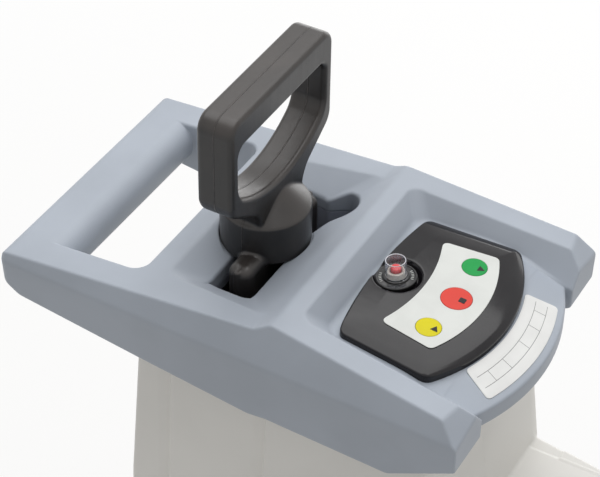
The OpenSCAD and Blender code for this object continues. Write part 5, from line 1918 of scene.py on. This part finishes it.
@dataclass
class BaseTrim:
    """Ribs, louvres, frames and tread that the base, the box and the wheels carry."""

    half: float
    front: float
    rear: float
    latch_z: float
    axle: Corner
    tyre: Corner
    rim_r: float = 64.0
    lugs: int = 32
    louvre_z: float = 282.0
    louvre_tilt: float = 35.0

    def blocks(self, shop: Workshop, name: str, size: Point, spots: Iterable[Point], seat: Seat,
               tilt: float = 0.0) -> None:
        """Repeats a small block and seats it.

        Args:
            shop: Workshop.
            name: Name of the piece.
            size: Size of a block.
            spots: Middle of each block.
            seat: Body, finish and slot.
            tilt: Tilt of each block about X in degrees.
        """
        turn = Matrix.Rotation(math.radians(tilt), 4, "X")
        places = [Matrix.Translation(spot) @ turn for spot in spots]
        shop.seat(repeat_box(name, size, places, ROW), *seat)

    def plain_frame(self, name: str, face: Datum, wide: float, tall: float, bar: float,
                    high: float) -> bpy.types.Object:
        """Flat frame with rounded corners.

        Args:
            name: Name of the piece.
            face: Frame of the face that it lies on.
            wide: Half of its width.
            tall: Half of its height.
            bar: Width of its bars.
            high: Height above the face.

        Returns:
            The piece.
        """
        def ring(a: float, b: float, r: float) -> list[Corner]:
            """Rounded rectangle."""
            return rounded_outline([(-a, -b), (a, -b), (a, b), (-a, b)], r)
        hole = ring(wide - bar, tall - bar, 9.0)
        return soften(sheet_piece(name, ring(wide, tall, 14.0), [hole], -0.3, high, face), 0.0006)

    def base(self, shop: Workshop) -> None:
        """Ribs in the side panels, louvres and ribs on the back.

        Args:
            shop: Workshop that seats the pieces.
        """
        on_base: Seat = (Body.MACHINE, BASE_GREY, "base_plastic")
        heights = np.arange(172.0, 330.0, 22.0)
        side = [(way * (self.half - 0.9), -15.0, z) for way in (-1, 1) for z in heights]
        self.blocks(shop, "side_ribs", (2.2, 324.0, 7.0), side, on_base)
        fins = [(0.0, self.rear + 1.6, self.louvre_z + z) for z in np.arange(-48.0, 50.0, 12.0)]
        self.blocks(shop, "rear_fins", (196.0, 2.0, 9.0), fins, on_base, self.louvre_tilt)
        # A black sheet behind the fins: painted shade in the louvre openings.
        shade = [(0.0, self.rear + 0.1, self.louvre_z)]
        self.blocks(shop, "rear_shade", (200.0, 0.8, 114.0), shade,
                    (Body.MACHINE, TRIM_BLACK, "black_plastic"))
        face = Datum((0.0, self.rear, self.louvre_z), -90.0)
        shop.seat(self.plain_frame("rear_frame", face, 108.0, 65.0, 9.0, 3.4), *on_base)
        ribs = [(x, self.rear + 0.6, 124.0) for x in np.arange(-120.0, 121.0, 40.0)]
        self.blocks(shop, "rear_ribs", (9.0, 2.4, 140.0), ribs, on_base)

    def box(self, shop: Workshop) -> None:
        """Frame and ribs on the box's front, ridges on the latch.

        Args:
            shop: Workshop that seats the pieces.
        """
        on_box: Seat = (Body.BOX, BOX_GREY, "box_plastic")
        face = Datum((0.0, self.front, 196.0), 90.0)
        shop.seat(self.plain_frame("box_frame", face, 158.0, 150.0, 8.0, 1.8), *on_box)
        ribs = [(x, self.front - 0.5, 148.0) for x in np.arange(-128.0, 129.0, 32.0)]
        self.blocks(shop, "box_ribs", (8.0, 2.4, 168.0), ribs, on_box)
        ridges = [(0.0, self.front - 8.3, self.latch_z + z) for z in (4.0, 8.0, 12.0)]
        self.blocks(shop, "latch_ridges", (34.0, 1.8, 1.8), ridges,
                    (Body.LATCH, LATCH_RED, "latch_plastic"))

    def wheel(self, shop: Workshop, way: int, body: Body, node: str) -> None:
        """Tyre with beads, a middle groove and two rows of lugs.

        Args:
            shop: Workshop.
            way: -1 for the left wheel, 1 for the right.
            body: Body of the wheel.
            node: Node that the tyre stands for.
        """
        centre, half = sum(self.tyre) / 2, (self.tyre[1] - self.tyre[0]) / 2
        near = [(self.rim_r, half), (66.0, half), (67.2, half - 0.9), (72.5, half - 0.9), (73.7, half),
                (75.5, half - 0.3), (78.0, half - 5.0), (78.3, half - 7.0), (78.3, 3.2), (76.6, 2.4)]
        profile = [(r, centre + h) for r, h in near] + [(r, centre - h) for r, h in reversed(near)]
        tyre = soften(lathe(f"{node}_ring", profile, 96, ROW))
        stand = Matrix.Translation((0.0, *self.axle))
        small = Matrix.Translation((0.0, self.axle[0] * MM, self.axle[1] * MM))
        tyre.data.transform(small @ Matrix.Rotation(math.radians(90 * way), 4, "Y"))
        shop.seat(tyre, body, RUBBER, "tyre_rubber", [node])
        places = []
        for row in (-1, 1):
            for k in range(self.lugs):
                turn = Matrix.Rotation(math.tau * (k + row * 0.25) / self.lugs, 4, "X")
                out = Matrix.Translation((way * (centre + row * 7.4), 0.0, self.axle[1] - 1.8))
                places.append(stand @ turn @ out)
        shop.seat(repeat_box(f"{node}_lugs", (8.0, 9.0, 3.4), places, ROW), body, RUBBER, "tyre_rubber")

    def dress(self, shop: Workshop) -> None:
        """Builds all trim.

        Args:
            shop: Workshop that seats the pieces.
        """
        self.base(shop)
        self.box(shop)
        self.wheel(shop, -1, Body.WHEEL_LEFT, "tyre_left")
        self.wheel(shop, 1, Body.WHEEL_RIGHT, "tyre_right")


@dataclass
class FrameParts:
    """Nodes that keep their own shape and get a finish and eased edges."""

    edges: dict[str, float] = field(default_factory=lambda: {
        "base_frame": 0.002, "collection_box": 0.0015, "box_latch": 0.001, "adjusting_knob": 0.001,
        "power_inlet": 0.0006, "inlet_flap": 0.0006, "front_feet": 0.0015, "feed_chute": 0.0008,
        "box_grip": 0.002, "wheel_left": 0.0012, "wheel_right": 0.0012, "hub_cap_left": 0.001,
        "hub_cap_right": 0.001})

    def dress(self, shop: Workshop) -> None:
        """Gives every node its slot's finish.

        Args:
            shop: Workshop that seats the pieces.
        """
        slots = {s["node"]: s["material_slot"] for s in frame["record"]["subparts"]}
        for name, piece in frame["nodes"].items():
            shop.dress(piece, SLOT_FINISH[slots[name]])
            if not piece.hide_render:
                soften(piece, self.edges.get(name, 0.0003))


@dataclass
class Studio:
    """Floor, world, lamps and the camera at the photograph's place."""

    camera_at: Point = (-1.1107, -0.5786, 1.8699)
    view_way: Point = (0.66753, 0.36924, -0.64658)
    roll: float = 0.961
    lens: float = 122.51
    world_light: float = 0.38
    floor_half: float = 12.0
    rays: tuple[str, ...] = ("Is Camera Ray", "Is Glossy Ray", "Is Transmission Ray")

    def floor(self) -> None:
        """Lays the pale floor."""
        work = bmesh.new()
        bmesh.ops.create_grid(work, x_segments=2, y_segments=2, size=self.floor_half)
        mesh = bpy.data.meshes.new("floor")
        work.to_mesh(mesh)
        work.free()
        floor = put("floor", mesh)
        floor.location.z = -0.0005
        sheet = Sheet("floor_white")
        path, glossy, through = (sheet.node("ShaderNodeLightPath", output=ray) for ray in self.rays)
        seen = (path + glossy + through).ramp(0.0, 1.0, False)
        matt = sheet.node("ShaderNodeBsdfDiffuse", {}, {"Color": (0.92, 0.91, 0.89, 1.0)})
        glow = sheet.node("ShaderNodeEmission", {}, {"Color": (1.0, 1.0, 1.0, 1.0), "Strength": 1.0})
        away = sheet.node("ShaderNodeVectorMath", {"operation": "LENGTH"}, {0: sheet.place}, "Value")
        share = seen * (0.72 + away.ramp(0.6, 2.6) * 0.28)
        sheet.node_output(sheet.node("ShaderNodeMixShader", {}, {0: share, 1: matt, 2: glow}))
        floor.data.materials.append(sheet.material)

    def world(self) -> None:
        """Sets an even pale world."""
        world = bpy.data.worlds.new("studio")
        bpy.context.scene.world = world
        world.use_nodes = True
        back = world.node_tree.nodes["Background"]
        back.inputs["Color"].default_value = (1.0, 1.0, 1.0, 1.0)
        path = world.node_tree.nodes.new("ShaderNodeLightPath")
        level: Optional[bpy.types.NodeSocket] = None
        for ray in self.rays:
            seen = world.node_tree.nodes.new("ShaderNodeMath")
            seen.operation = "MAXIMUM"
            seen.inputs[1].default_value = self.world_light
            world.node_tree.links.new(path.outputs[ray], seen.inputs[0])
            if level is not None:
                world.node_tree.links.new(level, seen.inputs[1])
            level = seen.outputs[0]
        world.node_tree.links.new(level, back.inputs["Strength"])

    def lamp(self, name: str, at: Point, aim: Point, size: Corner, power: float) -> None:
        """Hangs a soft box.

        Args:
            name: Name of the lamp.
            at: Its place.
            aim: Point that it faces.
            size: Width and height.
            power: Power in watts.
        """
        data = bpy.data.lights.new(name, "AREA")
        data.shape = "RECTANGLE"
        data.size, data.size_y = size
        data.energy = power
        lamp = put(name, data)
        lamp.location = at
        lamp.rotation_euler = (Vector(aim) - Vector(at)).to_track_quat("-Z", "Y").to_euler()

    def camera(self) -> None:
        """Sets the camera."""
        data = bpy.data.cameras.new("camera")
        data.sensor_fit = "HORIZONTAL"
        data.sensor_width = 36.0
        data.lens = self.lens
        data.clip_end = 50.0
        camera = put("camera", data)
        turn = Vector(self.view_way).to_track_quat("-Z", "Y").to_matrix().to_4x4()
        turn = turn @ Matrix.Rotation(math.radians(self.roll), 4, "Z")
        camera.matrix_world = Matrix.Translation(self.camera_at) @ turn
        bpy.context.scene.camera = camera

    def build(self) -> None:
        """Builds the studio."""
        bpy.context.scene.view_settings.view_transform = "Standard"
        self.floor()
        self.world()
        self.camera()
        self.lamp("overhead", (0.85, 0.3, 3.2), (0.85, 0.3, 0.0), (3.1, 3.1), 66.0)
        self.lamp("far_wall", (3.0, 0.4, 1.0), (0.0, 0.1, 0.85), (2.6, 1.8), 26.0)


# Cover's top above the step; panel floor back and down from the step, and its tilt; nose below the step.
STEP_RISE = 7.7
FLOOR_SET = (42.6, 13.7)
FLOOR_TILT = 3.07
NOSE_DROP = 229.0


def main() -> None:
    """Builds the studio, the pieces and the finishes in order."""
    logging.basicConfig(level=logging.INFO, format="%(name)s: %(message)s")
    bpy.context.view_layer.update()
    shop = Workshop()
    Studio().build()
    _, cover_high = corner_mm("top_cover")
    step = Datum((0.0, cover_high.y - TopCover.rear, cover_high.z - STEP_RISE))
    _, step_y, step_z = step.origin
    floor = Datum((0.0, step_y - FLOOR_SET[0], step_z - FLOOR_SET[1]), FLOOR_TILT)
    cover = TopCover(step, floor)
    cover.dress(shop)
    RatingPlate(cover).dress(shop)
    Plunger(Datum((0.0, step_y + cover.seat[0], step_z))).dress(shop)
    ControlPanel(floor).dress(shop)
    house_low, house_high = corner_mm("housing_left")
    Housing(house_high.z, house_low.z, step_y, step_z - NOSE_DROP).dress(shop)
    base_low, base_high = corner_mm("base_frame")
    latch_low, _ = corner_mm("box_latch")
    tyre_low, tyre_high = corner_mm("tyre_right")
    axle = ((tyre_low.y + tyre_high.y) / 2, (tyre_low.z + tyre_high.z) / 2)
    tyre = (tyre_low.x, tyre_high.x)
    BaseTrim(base_high.x, base_low.y, base_high.y, latch_low.z, axle, tyre).dress(shop)
    FrameParts().dress(shop)


if __name__ == "__main__":
    main()
